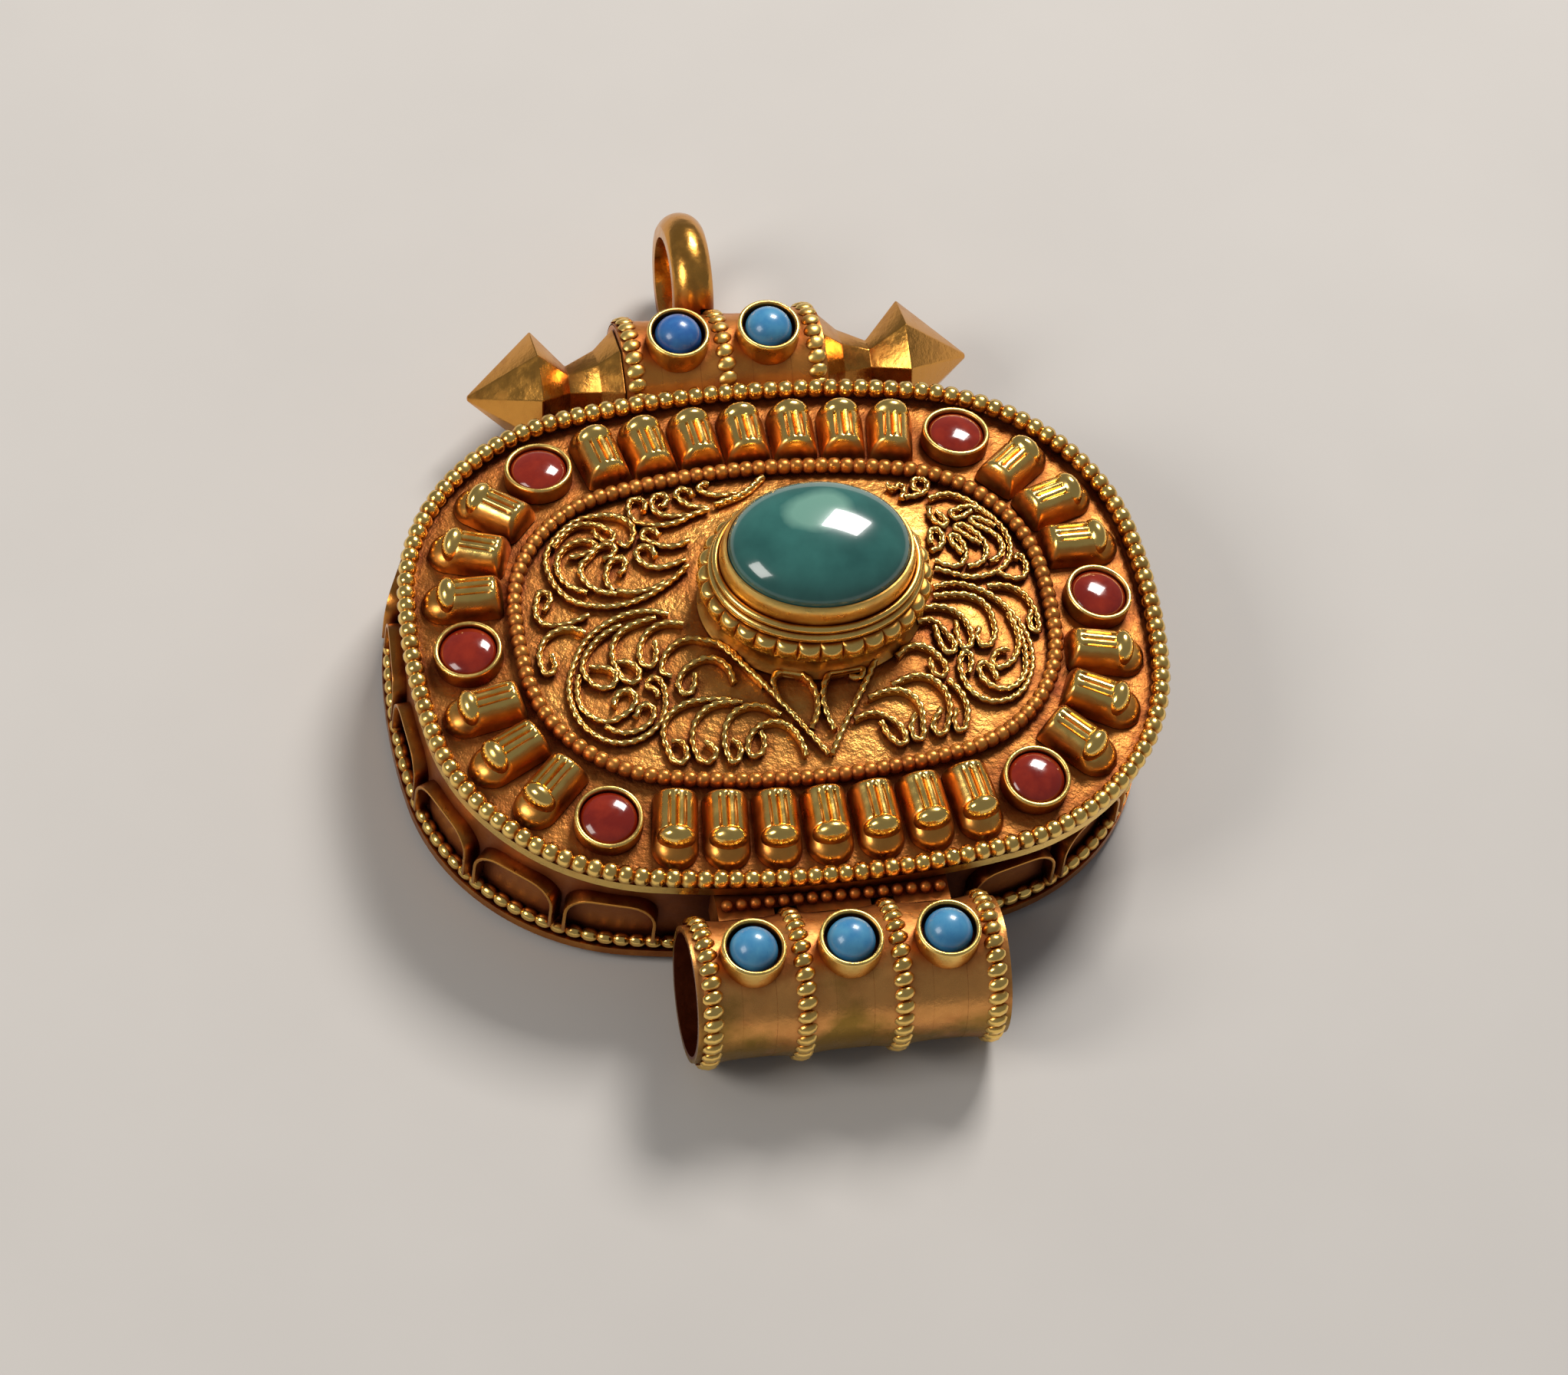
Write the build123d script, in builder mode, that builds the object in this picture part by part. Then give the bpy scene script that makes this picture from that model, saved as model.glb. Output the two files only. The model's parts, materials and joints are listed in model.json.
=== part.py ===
from build123d import *
import os
from dataclasses import astuple, dataclass
from math import atan2, cos, degrees, radians, sin, sqrt

# Ghau amulet box: an oval gilt pendant box with a lift-off lid, a cord tube and a hanger bar.
# Millimetres. The origin lies on the back plate's rest face, under the middle of the lid's face.
# +Z leaves the face of the lid, +Y points to the bail and X runs along the long axis of the box.


@dataclass(frozen=True)
class Oval:
    """A closed outline of side, corner and end arcs that meet smoothly."""

    half_length: float
    half_width: float
    side_radius: float
    end_radius: float
    corner_radius: float
    middle_x: float = 0.0

    def grown(self, by):
        """The same oval moved outwards everywhere by one distance."""
        *sizes, middle_x = astuple(self)
        return Oval(*(size + by for size in sizes), middle_x)

    def moved(self, by):
        """The same oval moved along X."""
        *sizes, middle_x = astuple(self)
        return Oval(*sizes, middle_x + by)

    def arcs(self):
        """Centre, radius, start angle and sweep of each arc, clockwise from the middle of the +Y side."""
        side = Vector(0, self.half_width - self.side_radius)
        end = Vector(self.half_length - self.end_radius, 0)
        side_reach = self.side_radius - self.corner_radius
        end_reach = self.end_radius - self.corner_radius
        across = end - side
        along = (across.length**2 + side_reach**2 - end_reach**2) / (2 * across.length)
        beside = sqrt(side_reach**2 - along**2)
        square = Vector(across.Y, -across.X)
        corner = side + across.normalized() * along + square.normalized() * beside
        turn_in = degrees(atan2(corner.X, corner.Y - side.Y))
        turn_out = degrees(atan2(corner.X - end.X, corner.Y))
        bearings = (
            (side.X, side.Y, self.side_radius, 0, turn_in),
            (corner.X, corner.Y, self.corner_radius, turn_in, turn_out),
            (end.X, end.Y, self.end_radius, turn_out, 180 - turn_out),
            (corner.X, -corner.Y, self.corner_radius, 180 - turn_out, 180 - turn_in),
            (side.X, -side.Y, self.side_radius, 180 - turn_in, 180 + turn_in),
            (-corner.X, -corner.Y, self.corner_radius, 180 + turn_in, 180 + turn_out),
            (-end.X, end.Y, self.end_radius, 180 + turn_out, 360 - turn_out),
            (-corner.X, corner.Y, self.corner_radius, 360 - turn_out, 360 - turn_in),
            (side.X, side.Y, self.side_radius, 360 - turn_in, 360),
        )
        return [
            ((self.middle_x + x, y), radius, 90 - first, first - last)
            for x, y, radius, first, last in bearings
        ]

    def length(self):
        """The whole way round."""
        return sum(radius * radians(-sweep_angle) for _, radius, _, sweep_angle in self.arcs())

    def station(self, run):
        """Point, tangent and outward normal at a clockwise distance from the middle of the +Y side."""
        run %= self.length()
        for centre, radius, start, sweep_angle in self.arcs():
            reach = radius * radians(-sweep_angle)
            if run <= reach:
                break
            run -= reach
        angle = radians(start) - run / radius
        outward = Vector(cos(angle), sin(angle))
        return Vector(*centre) + outward * radius, Vector(outward.Y, -outward.X), outward


# Outlines: the crest line of the outer bead wire, the filigree field and the centre setting
rim = Oval(half_length=17.4, half_width=13.85, side_radius=46.0, end_radius=30.0, corner_radius=10.8)
border_at_ends = 4.9
border_at_sides = 5.0
field = Oval(
    half_length=rim.half_length - border_at_ends,
    half_width=rim.half_width - border_at_sides,
    side_radius=33.0,
    end_radius=25.0,
    corner_radius=6.9,
)
setting_half_length = 4.33
setting_half_width = 3.55
setting_x = 1.27
setting_y = 0.7

# Fits: soldered seams, the lid's flange in the wall, the bar in its plates and the bar's screw end
solder_gap = 0.02
lid_clearance = 0.05
bar_clearance = 0.05
stone_clearance = 0.03
end_play = 0.05

# Box: it sits a little to the left under the lid's face
box_x = -0.65
back_thickness = 1.0
back_bevel = 0.55
flange_overhang = 0.15
wall_inset = 0.55
wall_thickness = 0.55
seam_height = 5.5
base_wire_radius = 0.33
cell_pitch = 4.5
cell_gap = 0.08
cell_height = 2.75
cell_depth = 0.7
cell_strip = 0.2
cell_top_radius = 1.25
cells_each_side = 8
cell_shift = 1.1

# Lid
edge_height = 0.6
edge_inset = 0.15
strip_overhang = 0.2
strip_height = 0.5
plate_thickness = 0.5
flange_thickness = 0.4
flange_drop = 1.7
bead_radius = 0.45
border_rise = 0.7
field_rise = 0.8
inner_bead_radius = 0.38

# Border petals and red stones
border_mid = 2.6
petal_length = 3.6
petal_width = 2.05
petal_height = 1.15
petal_side_height = 0.55
petal_toe_height = 0.7
petal_flute_length = 2.1
petal_ball_radius = 0.68
petal_pitch_long = 2.34
petal_pitch_corner = 2.72
petal_stone_gap = 0.1
coral_run = 10.1
coral_bezel_radius = 1.6
coral_bezel_wall = 0.2
coral_bezel_height = 0.85
coral_side_height = 0.55
coral_dome = 0.5

# Filigree
scroll_width = 0.3
scroll_height = 0.45
volute_inset = 7.1
tendril_inset = 7.6
tendril_drop = 4.95
end_curl_inset = 1.9

# Centre setting, counted up from the field's platform
platform_overhang = 0.3
foot_height = 1.5
foot_top_growth = 0.9
foot_waist_growth = 0.65
foot_base_growth = 1.0
core_growth = 0.3
collar_growth = 1.2
collar_height = 1.0
collar_round = 0.35
collar_notches = 30
collar_notch_radius = 0.13
lower_wire_growth = 0.75
lower_wire_height = 0.5
upper_wire_growth = 0.58
upper_wire_height = 0.4
bezel_wall = 0.25
bezel_height = 1.35
stone_dome = 1.7

# Cord tube on the lower edge
cord_tube_radius = 3.15
cord_tube_wall = 0.3
cord_ring_radius = 3.55
cord_ring_width = 1.05
cord_x = -0.2
cord_half_length = 7.25
cord_ring_pitch = 4.5
cord_inner_rings = 2
cord_end_lip = 0.15
cord_stone_lean = 5.0
cord_bezel_reach = 0.85
cord_saddle_half_length = 5.4
saddle_height = 1.9
cord_saddle_drop = 0.2
granule_radius = 0.28
granule_pitch = 0.66
granule_count = 16

# Hanger tube and cross bar on the upper edge
hanger_x = 0.15
hanger_tube_radius = 2.95
hanger_tube_wall = 0.35
hanger_ring_radius = 3.25
hanger_ring_width = 0.96
hanger_ring_pitch = 4.37
hanger_ring_count = 3
hanger_axis_height = 3.27
hanger_bezel_reach = 0.9
hanger_saddle_half_length = 3.6
hanger_saddle_drop = 0.6
end_plate_thickness = 0.6
bar_radius = 0.9
screw_radius = 0.65
screw_length = 2.5
finial_sides = 8
cone_mouth_radius = 2.75
cone_bend_radius = 1.8
cone_bend_run = 1.0
neck_radius = 1.15
neck_run = 2.4
finial_radius = 2.95
finial_inner_run = 1.6
finial_outer_run = 3.2
finial_tip_radius = 0.12

# Small blue stones on both tubes
tube_bezel_radius = 1.5
tube_bezel_wall = 0.2
tube_stone_radius = 1.17

# Bail
bail_x = -0.55
bail_height = 3.5
bail_bore_radius = 2.3
bail_side_thickness = 0.55
bail_thickness = 1.1
bail_width = 1.9
bail_overlap = 0.75

# Levels and outlines that follow from the sizes above
wall_outer = rim.moved(box_x).grown(-wall_inset)
wall_inner = wall_outer.grown(-wall_thickness)
back_outline = rim.moved(box_x).grown(flange_overhang)
lid_edge = rim.grown(-edge_inset)
lid_flange_outer = wall_inner.grown(-lid_clearance)
lid_flange_inner = lid_flange_outer.grown(-flange_thickness)
border_outer = rim.grown(-bead_radius)
bead_seat = seam_height + edge_height
field_height = bead_seat + border_rise
platform_height = field_height + field_rise
foot_top = platform_height + foot_height
collar_top = foot_top + collar_height
lower_wire_top = collar_top + lower_wire_height
upper_wire_top = lower_wire_top + upper_wire_height
bezel_top = lower_wire_top + bezel_height
border_width = min(rim.half_length - field.half_length, rim.half_width - field.half_width) - bead_radius
border_slope = degrees(atan2(border_rise, border_width))
border_height = bead_seat + border_rise * (border_mid - bead_radius) / border_width
cell_foot = back_thickness + 2 * base_wire_radius + solder_gap
tube_stand = wall_outer.half_width + cell_depth + end_play
cord_axis = Vector(cord_x, -tube_stand - cord_ring_radius, cord_ring_radius)
hanger_axis = Vector(hanger_x, tube_stand + hanger_ring_radius, hanger_axis_height)
hanger_half_length = (hanger_ring_count - 1) / 2 * hanger_ring_pitch + hanger_ring_width / 2
cord_saddle_top = seam_height - cord_saddle_drop
hanger_saddle_top = seam_height - hanger_saddle_drop
finial_mouth = hanger_half_length + end_play
bail_radius = bail_bore_radius + bail_thickness
bail_axis = Vector(bail_x, hanger_axis.Y + hanger_tube_radius - bail_overlap + bail_radius, bail_height)

os.makedirs("parts", exist_ok=True)


def oval_sketch(oval):
    """A filled oval, flat on XY."""
    with BuildSketch(Plane.XY) as sketch:
        with BuildLine():
            for arc in oval.arcs():
                CenterArc(*arc)
        make_face()
    return sketch.sketch


def oval_path(oval, height):
    """The oval as one wire at a height."""
    with BuildLine(Plane.XY.offset(height)) as line:
        for arc in oval.arcs():
            CenterArc(*arc)
    return line.wire()


def row(count, pitch, middle=0.0):
    """Evenly spaced distances about a middle."""
    return [middle + (index - (count - 1) / 2) * pitch for index in range(count)]


def setting_ellipse(growth):
    """The centre stone's ellipse grown by a distance, in its place over the field."""
    with BuildSketch(Plane((setting_x, setting_y, 0))) as sketch:
        Ellipse(setting_half_length + growth, setting_half_width + growth)
    return sketch.sketch


def tube_plane(axis, x, lean):
    """Plane across a stone on a tube, leaning from +Z towards the lower edge, from the tube's axis."""
    return Plane((x, axis.Y, axis.Z), x_dir=(1, 0, 0), z_dir=(0, -sin(radians(lean)), cos(radians(lean))))


# Back plate: the face that the pendant lies on, bevelled below, with a flange outside the wall
with BuildPart() as back_plate:
    with BuildSketch():
        add(oval_sketch(back_outline.grown(-back_bevel)))
    with BuildSketch(Plane.XY.offset(back_bevel)):
        add(oval_sketch(back_outline))
    loft(ruled=True)
    with BuildSketch(Plane.XY.offset(back_bevel)):
        add(oval_sketch(back_outline))
    extrude(amount=back_thickness - back_bevel)

# Box wall: oval band on the back plate
with BuildPart() as box_wall:
    with BuildSketch(Plane.XY.offset(back_thickness)):
        add(oval_sketch(wall_outer))
        add(oval_sketch(wall_inner), mode=Mode.SUBTRACT)
    extrude(amount=seam_height - back_thickness)

# Base wire: round wire in the corner of the flange
base_wire_path = oval_path(back_outline.grown(-base_wire_radius), back_thickness + base_wire_radius)
with BuildPart() as base_wire:
    with BuildSketch(Plane(base_wire_path @ 0, z_dir=base_wire_path % 0)):
        Circle(base_wire_radius)
    sweep(path=base_wire_path)


def arch_sketch(inset):
    """An arch moved in from its outline and open at the foot, about the middle of the cell."""
    with BuildSketch(Plane.XY) as arch:
        with Locations((0, -inset)):
            Rectangle(cell_pitch - cell_gap - 2 * inset, cell_height)
        fillet(arch.vertices().group_by(Axis.Y)[-1], cell_top_radius - inset)
    return arch.sketch


# Arcade cells: arched strips on edge round both ends of the wall
cells_middle = (wall_outer.length() / 2 - cord_half_length + hanger_half_length) / 2 + cell_shift
cell_runs = row(cells_each_side, cell_pitch, cells_middle)
with BuildPart() as arcade_cells:
    for run in cell_runs + [-run for run in cell_runs]:
        point, tangent, outward = wall_outer.station(run)
        middle = point - outward * cell_depth + Vector(0, 0, cell_foot + cell_height / 2)
        with BuildSketch(Plane(middle, x_dir=tangent, z_dir=outward)):
            add(arch_sketch(0))
            add(arch_sketch(cell_strip), mode=Mode.SUBTRACT)
        extrude(amount=3 * cell_depth)
    with BuildSketch(Plane.XY) as cell_band:
        add(oval_sketch(wall_outer.grown(cell_depth)))
        add(oval_sketch(wall_outer.grown(solder_gap)), mode=Mode.SUBTRACT)
    extrude(amount=seam_height, mode=Mode.INTERSECT)

# Cord tube: open sheet tube for a cord or a tassel
with BuildPart() as cord_tube:
    with BuildSketch(Plane.YZ.offset(cord_axis.X)):
        with Locations((cord_axis.Y, cord_axis.Z)):
            Circle(cord_tube_radius)
            Circle(cord_tube_radius - cord_tube_wall, mode=Mode.SUBTRACT)
    extrude(amount=cord_half_length, both=True)


def tube_rings(axis, places, tube_radius, ring_radius, ring_width):
    """Half-round rings on a tube along X."""
    foot = tube_radius + solder_gap
    side = foot + (ring_radius - foot) / 2
    with BuildPart() as rings:
        for x in places:
            with BuildSketch(Plane.XY.offset(axis.Z)):
                with BuildLine():
                    left = x - ring_width / 2
                    right = x + ring_width / 2
                    Polyline((left, axis.Y + side), (left, axis.Y + foot), (right, axis.Y + foot),
                             (right, axis.Y + side))
                    ThreePointArc((right, axis.Y + side), (x, axis.Y + ring_radius), (left, axis.Y + side))
                make_face()
            revolve(axis=Axis((0, axis.Y, axis.Z), (1, 0, 0)))
    return rings.part


def tube_bezels(axis, places, tube_radius, reach, lean):
    """Thin cups that stand on a tube along X."""
    with BuildPart() as cups:
        for x in places:
            with BuildSketch(tube_plane(axis, x, lean)):
                Circle(tube_bezel_radius)
                Circle(tube_bezel_radius - tube_bezel_wall, mode=Mode.SUBTRACT)
            extrude(amount=tube_radius + reach)
        with BuildSketch(Plane.YZ):
            with Locations((axis.Y, axis.Z)):
                Circle(tube_radius + solder_gap)
        extrude(amount=max(map(abs, places)) + 2 * tube_bezel_radius, both=True, mode=Mode.SUBTRACT)
    return cups.part


def tube_stones(axis, places, tube_radius, reach, lean):
    """Round stones that stand on a tube along X, as wide as their cups allow, domed above the rim."""
    shank_radius = min(tube_stone_radius, tube_bezel_radius - tube_bezel_wall - stone_clearance)
    with BuildPart() as stones:
        for x in places:
            with BuildSketch(tube_plane(axis, x, lean)):
                Circle(shank_radius)
            extrude(amount=tube_radius + reach)
            with Locations(tube_plane(axis, x, lean).offset(tube_radius + reach)):
                Sphere(shank_radius)
        with BuildSketch(Plane.YZ):
            with Locations((axis.Y, axis.Z)):
                Circle(tube_radius + solder_gap)
        extrude(amount=max(map(abs, places)) + 2 * tube_bezel_radius, both=True, mode=Mode.SUBTRACT)
    return stones.part


def tube_envelope(axis, ring_places, tube_radius, ring_radius, ring_width, half_length):
    """Solid tube with its rings and the solder gap round them, to cut its neighbours with."""
    with BuildPart() as envelope:
        with BuildSketch(Plane.YZ.offset(axis.X)):
            with Locations((axis.Y, axis.Z)):
                Circle(tube_radius + solder_gap)
        extrude(amount=half_length, both=True)
        for x in ring_places:
            with BuildSketch(Plane.YZ.offset(x)):
                with Locations((axis.Y, axis.Z)):
                    Circle(ring_radius + solder_gap)
            extrude(amount=ring_width / 2 + solder_gap, both=True)
    return envelope.part


def tube_saddle(axis, envelope, half_length, top):
    """Block that fills the space between the wall and a tube, cleared for the tube and its rings."""
    outward = 1 if axis.Y > 0 else -1
    with BuildPart() as saddle:
        with BuildSketch(Plane.XY.offset(top)):
            with Locations((axis.X, axis.Y / 2)):
                Rectangle(2 * half_length, outward * axis.Y)
        extrude(amount=-saddle_height)
        with BuildSketch(Plane.XY):
            add(oval_sketch(wall_outer.grown(solder_gap)))
        extrude(amount=seam_height, mode=Mode.SUBTRACT)
        add(envelope, mode=Mode.SUBTRACT)
    return saddle.part


# Rings, saddle, cups and stones of the cord tube
cord_end_ring = cord_half_length - cord_end_lip - cord_ring_width / 2
cord_ring_places = (
    [cord_x - cord_end_ring] + row(cord_inner_rings, cord_ring_pitch, cord_x) + [cord_x + cord_end_ring]
)
cord_stone_places = row(cord_inner_rings + 1, cord_ring_pitch, cord_x)
with BuildPart() as cord_tube_rings:
    add(tube_rings(cord_axis, cord_ring_places, cord_tube_radius, cord_ring_radius, cord_ring_width))

cord_envelope = tube_envelope(
    cord_axis, cord_ring_places, cord_tube_radius, cord_ring_radius, cord_ring_width, cord_half_length
)
with BuildPart() as cord_tube_saddle:
    add(tube_saddle(cord_axis, cord_envelope, cord_saddle_half_length, cord_saddle_top))

with BuildPart() as cord_tube_bezels:
    add(tube_bezels(cord_axis, cord_stone_places, cord_tube_radius, cord_bezel_reach, cord_stone_lean))

with BuildPart() as cord_tube_stones:
    add(tube_stones(cord_axis, cord_stone_places, cord_tube_radius, cord_bezel_reach, cord_stone_lean))

# Granule row: small balls on the saddle, between the tube's rings and the lid's edge
ring_rise = cord_saddle_top + granule_radius - cord_axis.Z
ring_back = cord_axis.Y + sqrt(cord_ring_radius**2 - ring_rise**2)
granule_line = ring_back + granule_radius + end_play
with BuildPart() as granule_row:
    for x in row(granule_count, granule_pitch, cord_x):
        with Locations((x, granule_line, cord_saddle_top + granule_radius + solder_gap)):
            Sphere(granule_radius)

# Hanger tube: sheet tube that guides the cross bar
with BuildPart() as hanger_tube:
    with BuildSketch(Plane.YZ.offset(hanger_axis.X)):
        with Locations((hanger_axis.Y, hanger_axis.Z)):
            Circle(hanger_tube_radius)
            Circle(hanger_tube_radius - hanger_tube_wall, mode=Mode.SUBTRACT)
    extrude(amount=hanger_half_length, both=True)

hanger_ring_places = row(hanger_ring_count, hanger_ring_pitch, hanger_x)
hanger_stone_places = row(hanger_ring_count - 1, hanger_ring_pitch, hanger_x)
with BuildPart() as hanger_rings:
    add(tube_rings(hanger_axis, hanger_ring_places, hanger_tube_radius, hanger_ring_radius,
                   hanger_ring_width))

hanger_envelope = tube_envelope(
    hanger_axis, hanger_ring_places, hanger_tube_radius, hanger_ring_radius, hanger_ring_width,
    hanger_half_length,
)
with BuildPart() as hanger_saddle:
    add(tube_saddle(hanger_axis, hanger_envelope, hanger_saddle_half_length, hanger_saddle_top))

with BuildPart() as hanger_bezels:
    add(tube_bezels(hanger_axis, hanger_stone_places, hanger_tube_radius, hanger_bezel_reach, 0))

with BuildPart() as hanger_stones:
    add(tube_stones(hanger_axis, hanger_stone_places, hanger_tube_radius, hanger_bezel_reach, 0))

# End plates: discs in the ends of the hanger tube, bored for the bar
with BuildPart() as hanger_end_plates:
    for side in (-1, 1):
        with BuildSketch(Plane.YZ.offset(hanger_axis.X + side * hanger_half_length)):
            with Locations((hanger_axis.Y, hanger_axis.Z)):
                Circle(hanger_tube_radius - hanger_tube_wall - solder_gap)
                Circle(bar_radius + bar_clearance, mode=Mode.SUBTRACT)
        extrude(amount=-side * end_plate_thickness)

# Bail: half-round loop with a round bore along X, its foot cut to the hanger tube and its middle ring
with BuildPart() as bail:
    with BuildSketch(Plane.XY.offset(bail_axis.Z)):
        with BuildLine():
            left = bail_axis.X - bail_width / 2
            right = bail_axis.X + bail_width / 2
            bore_line = bail_axis.Y + bail_bore_radius
            side_line = bore_line + bail_side_thickness
            Polyline((left, side_line), (left, bore_line), (right, bore_line), (right, side_line))
            ThreePointArc((right, side_line), (bail_axis.X, bail_axis.Y + bail_radius), (left, side_line))
        make_face()
    revolve(axis=Axis((0, bail_axis.Y, bail_axis.Z), (1, 0, 0)))
    add(hanger_envelope, mode=Mode.SUBTRACT)

# Cross bar: rod with a thinner screw end on the right
with BuildPart() as bar_shaft:
    with BuildSketch(Plane.YZ.offset(hanger_axis.X - finial_mouth - neck_run + 2 * end_play)):
        with Locations((hanger_axis.Y, hanger_axis.Z)):
            Circle(bar_radius)
    extrude(amount=2 * finial_mouth + neck_run - 2 * end_play)
    with BuildSketch(Plane.YZ.offset(hanger_axis.X + finial_mouth)):
        with Locations((hanger_axis.Y, hanger_axis.Z)):
            Circle(screw_radius)
    extrude(amount=screw_length)


def finial(side, hole_radius, hole_depth):
    """Faceted cone and double pyramid at one end of the bar, with a blind hole in its mouth."""
    neck = finial_mouth + neck_run
    equator = neck + finial_inner_run
    stations = (
        (finial_mouth, cone_mouth_radius),
        (finial_mouth + cone_bend_run, cone_bend_radius),
        (neck, neck_radius),
        (equator, finial_radius),
        (equator + finial_outer_run, finial_tip_radius),
    )
    with BuildPart() as piece:
        for x, radius in stations:
            with BuildSketch(Plane.YZ.offset(hanger_axis.X + side * x)):
                with Locations((hanger_axis.Y, hanger_axis.Z)):
                    RegularPolygon(radius, finial_sides)
        loft(ruled=True)
        with BuildSketch(Plane.YZ.offset(hanger_axis.X + side * finial_mouth)):
            with Locations((hanger_axis.Y, hanger_axis.Z)):
                Circle(hole_radius)
        extrude(amount=side * hole_depth, mode=Mode.SUBTRACT)
    return piece.part


with BuildPart() as left_finial:
    add(finial(-1, bar_radius + solder_gap, neck_run - end_play))

with BuildPart() as right_finial:
    add(finial(1, screw_radius + bar_clearance, screw_length + end_play))

# Field mound: the sloping ground of the filigree, from the field's edge to the setting's platform
platform_growth = foot_base_growth + platform_overhang
platform = Oval(
    half_length=setting_half_length + platform_growth,
    half_width=setting_half_width + platform_growth,
    side_radius=2 * (setting_half_length + platform_growth),
    end_radius=setting_half_length + platform_growth,
    corner_radius=setting_half_width,
)


def field_mound(lift, shrink=0.0):
    """Solid under the field's ground raised by a lift, standing on the field's level."""
    with BuildPart() as mound:
        if lift > 0:
            with BuildSketch(Plane.XY.offset(field_height)):
                add(oval_sketch(field.grown(-shrink)))
            extrude(amount=lift)
        with BuildSketch(Plane.XY.offset(field_height + lift)):
            add(oval_sketch(field.grown(-shrink)))
        with BuildSketch(Plane((setting_x, setting_y, platform_height + lift))):
            add(oval_sketch(platform))
        loft(ruled=True)
    return mound.part


# Lid shell: edge plate, sloping border and field, hollow underneath
with BuildPart() as lid_shell:
    with BuildSketch(Plane.XY.offset(seam_height)):
        add(oval_sketch(lid_edge))
    extrude(amount=edge_height)
    with BuildSketch(Plane.XY.offset(bead_seat)):
        add(oval_sketch(border_outer))
    with BuildSketch(Plane.XY.offset(field_height)):
        add(oval_sketch(field))
    loft(ruled=True)
    add(field_mound(0))
    with BuildSketch(Plane.XY.offset(seam_height)):
        add(oval_sketch(lid_flange_inner))
    extrude(amount=edge_height - plate_thickness, mode=Mode.SUBTRACT)
    with BuildSketch(Plane.XY.offset(bead_seat - plate_thickness)):
        add(oval_sketch(lid_flange_inner))
    with BuildSketch(Plane.XY.offset(field_height - plate_thickness)):
        add(oval_sketch(field))
    loft(ruled=True, mode=Mode.SUBTRACT)
    with Locations((0, 0, -plate_thickness)):
        add(field_mound(0), mode=Mode.SUBTRACT)

# Lid flange: ring under the face plate that slides inside the wall
with BuildPart() as lid_flange:
    with BuildSketch(Plane.XY.offset(seam_height)):
        add(oval_sketch(lid_flange_outer))
        add(oval_sketch(lid_flange_inner), mode=Mode.SUBTRACT)
    extrude(amount=-flange_drop)

# Lid edge strip: plain strip round the edge of the face plate
with BuildPart() as lid_edge_strip:
    with BuildSketch(Plane.XY.offset(bead_seat - strip_height)):
        add(oval_sketch(rim.grown(strip_overhang)))
        add(oval_sketch(lid_edge.grown(solder_gap)), mode=Mode.SUBTRACT)
    extrude(amount=strip_height)

# Outer and inner bead wires
outer_bead_path = oval_path(rim, bead_seat + bead_radius + solder_gap)
with BuildPart() as outer_bead_wire:
    with BuildSketch(Plane(outer_bead_path @ 0, z_dir=outer_bead_path % 0)):
        Circle(bead_radius)
    sweep(path=outer_bead_path)

inner_bead_lift = inner_bead_radius / cos(radians(border_slope)) + solder_gap
inner_bead_path = oval_path(field, field_height + inner_bead_lift)
with BuildPart() as inner_bead_wire:
    with BuildSketch(Plane(inner_bead_path @ 0, z_dir=inner_bead_path % 0)):
        Circle(inner_bead_radius)
    sweep(path=inner_bead_path)

# Places along the middle of the border for the petals and the red stones
border_line = rim.grown(-border_mid)
quarter = border_line.length() / 4


def petal_row(first_stone, last_stone, pitch):
    """As many petals as fit between two red stones, about the middle between them."""
    room = last_stone - first_stone - 2 * (coral_bezel_radius + petal_stone_gap) - petal_width
    return row(int(room // pitch) + 1, pitch, (first_stone + last_stone) / 2)


corner_row = petal_row(coral_run, quarter, petal_pitch_corner)
long_row = petal_row(-coral_run, coral_run, petal_pitch_long)
petal_runs = (
    long_row
    + [2 * quarter + run for run in long_row]
    + corner_row
    + [2 * quarter - run for run in corner_row]
    + [2 * quarter + run for run in corner_row]
    + [-run for run in corner_row]
)
coral_runs = [coral_run, quarter, 2 * quarter - coral_run, 2 * quarter + coral_run, 3 * quarter, -coral_run]


def border_plane(run):
    """Plane on the sloping border: local X along the border, local Y outwards."""
    point, tangent, outward = border_line.station(run)
    seat = point + Vector(0, 0, border_height + solder_gap)
    slope = radians(border_slope)
    return Plane(seat, x_dir=tangent, z_dir=outward * sin(slope) + Vector(0, 0, cos(slope)))


# Petal: arched bar towards the field, low rounded toe towards the rim, ball between them
with BuildPart() as petal:
    half = petal_width / 2
    inner_end = -petal_length / 2
    with BuildSketch(Plane.XZ.offset(-inner_end)):
        with BuildLine():
            Polyline((-half, petal_side_height), (-half, 0), (half, 0), (half, petal_side_height))
            ThreePointArc((half, petal_side_height), (0, petal_height), (-half, petal_side_height))
        make_face()
    extrude(amount=-petal_flute_length)
    with BuildSketch():
        with BuildLine():
            toe = petal_length / 2 - half
            Polyline((half, toe), (half, inner_end), (-half, inner_end), (-half, toe))
            ThreePointArc((-half, toe), (0, petal_length / 2), (half, toe))
        make_face()
    extrude(amount=petal_side_height)
    with BuildSketch(Plane.XY.offset(petal_side_height)):
        with Locations((0, toe)):
            Circle(half)
    extrude(amount=petal_toe_height - petal_side_height, taper=45)
    with Locations((0, toe - petal_ball_radius / 4, petal_toe_height)):
        Sphere(petal_ball_radius)

with BuildPart() as border_petals:
    with Locations(*[border_plane(run) for run in petal_runs]):
        add(petal.part)

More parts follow.
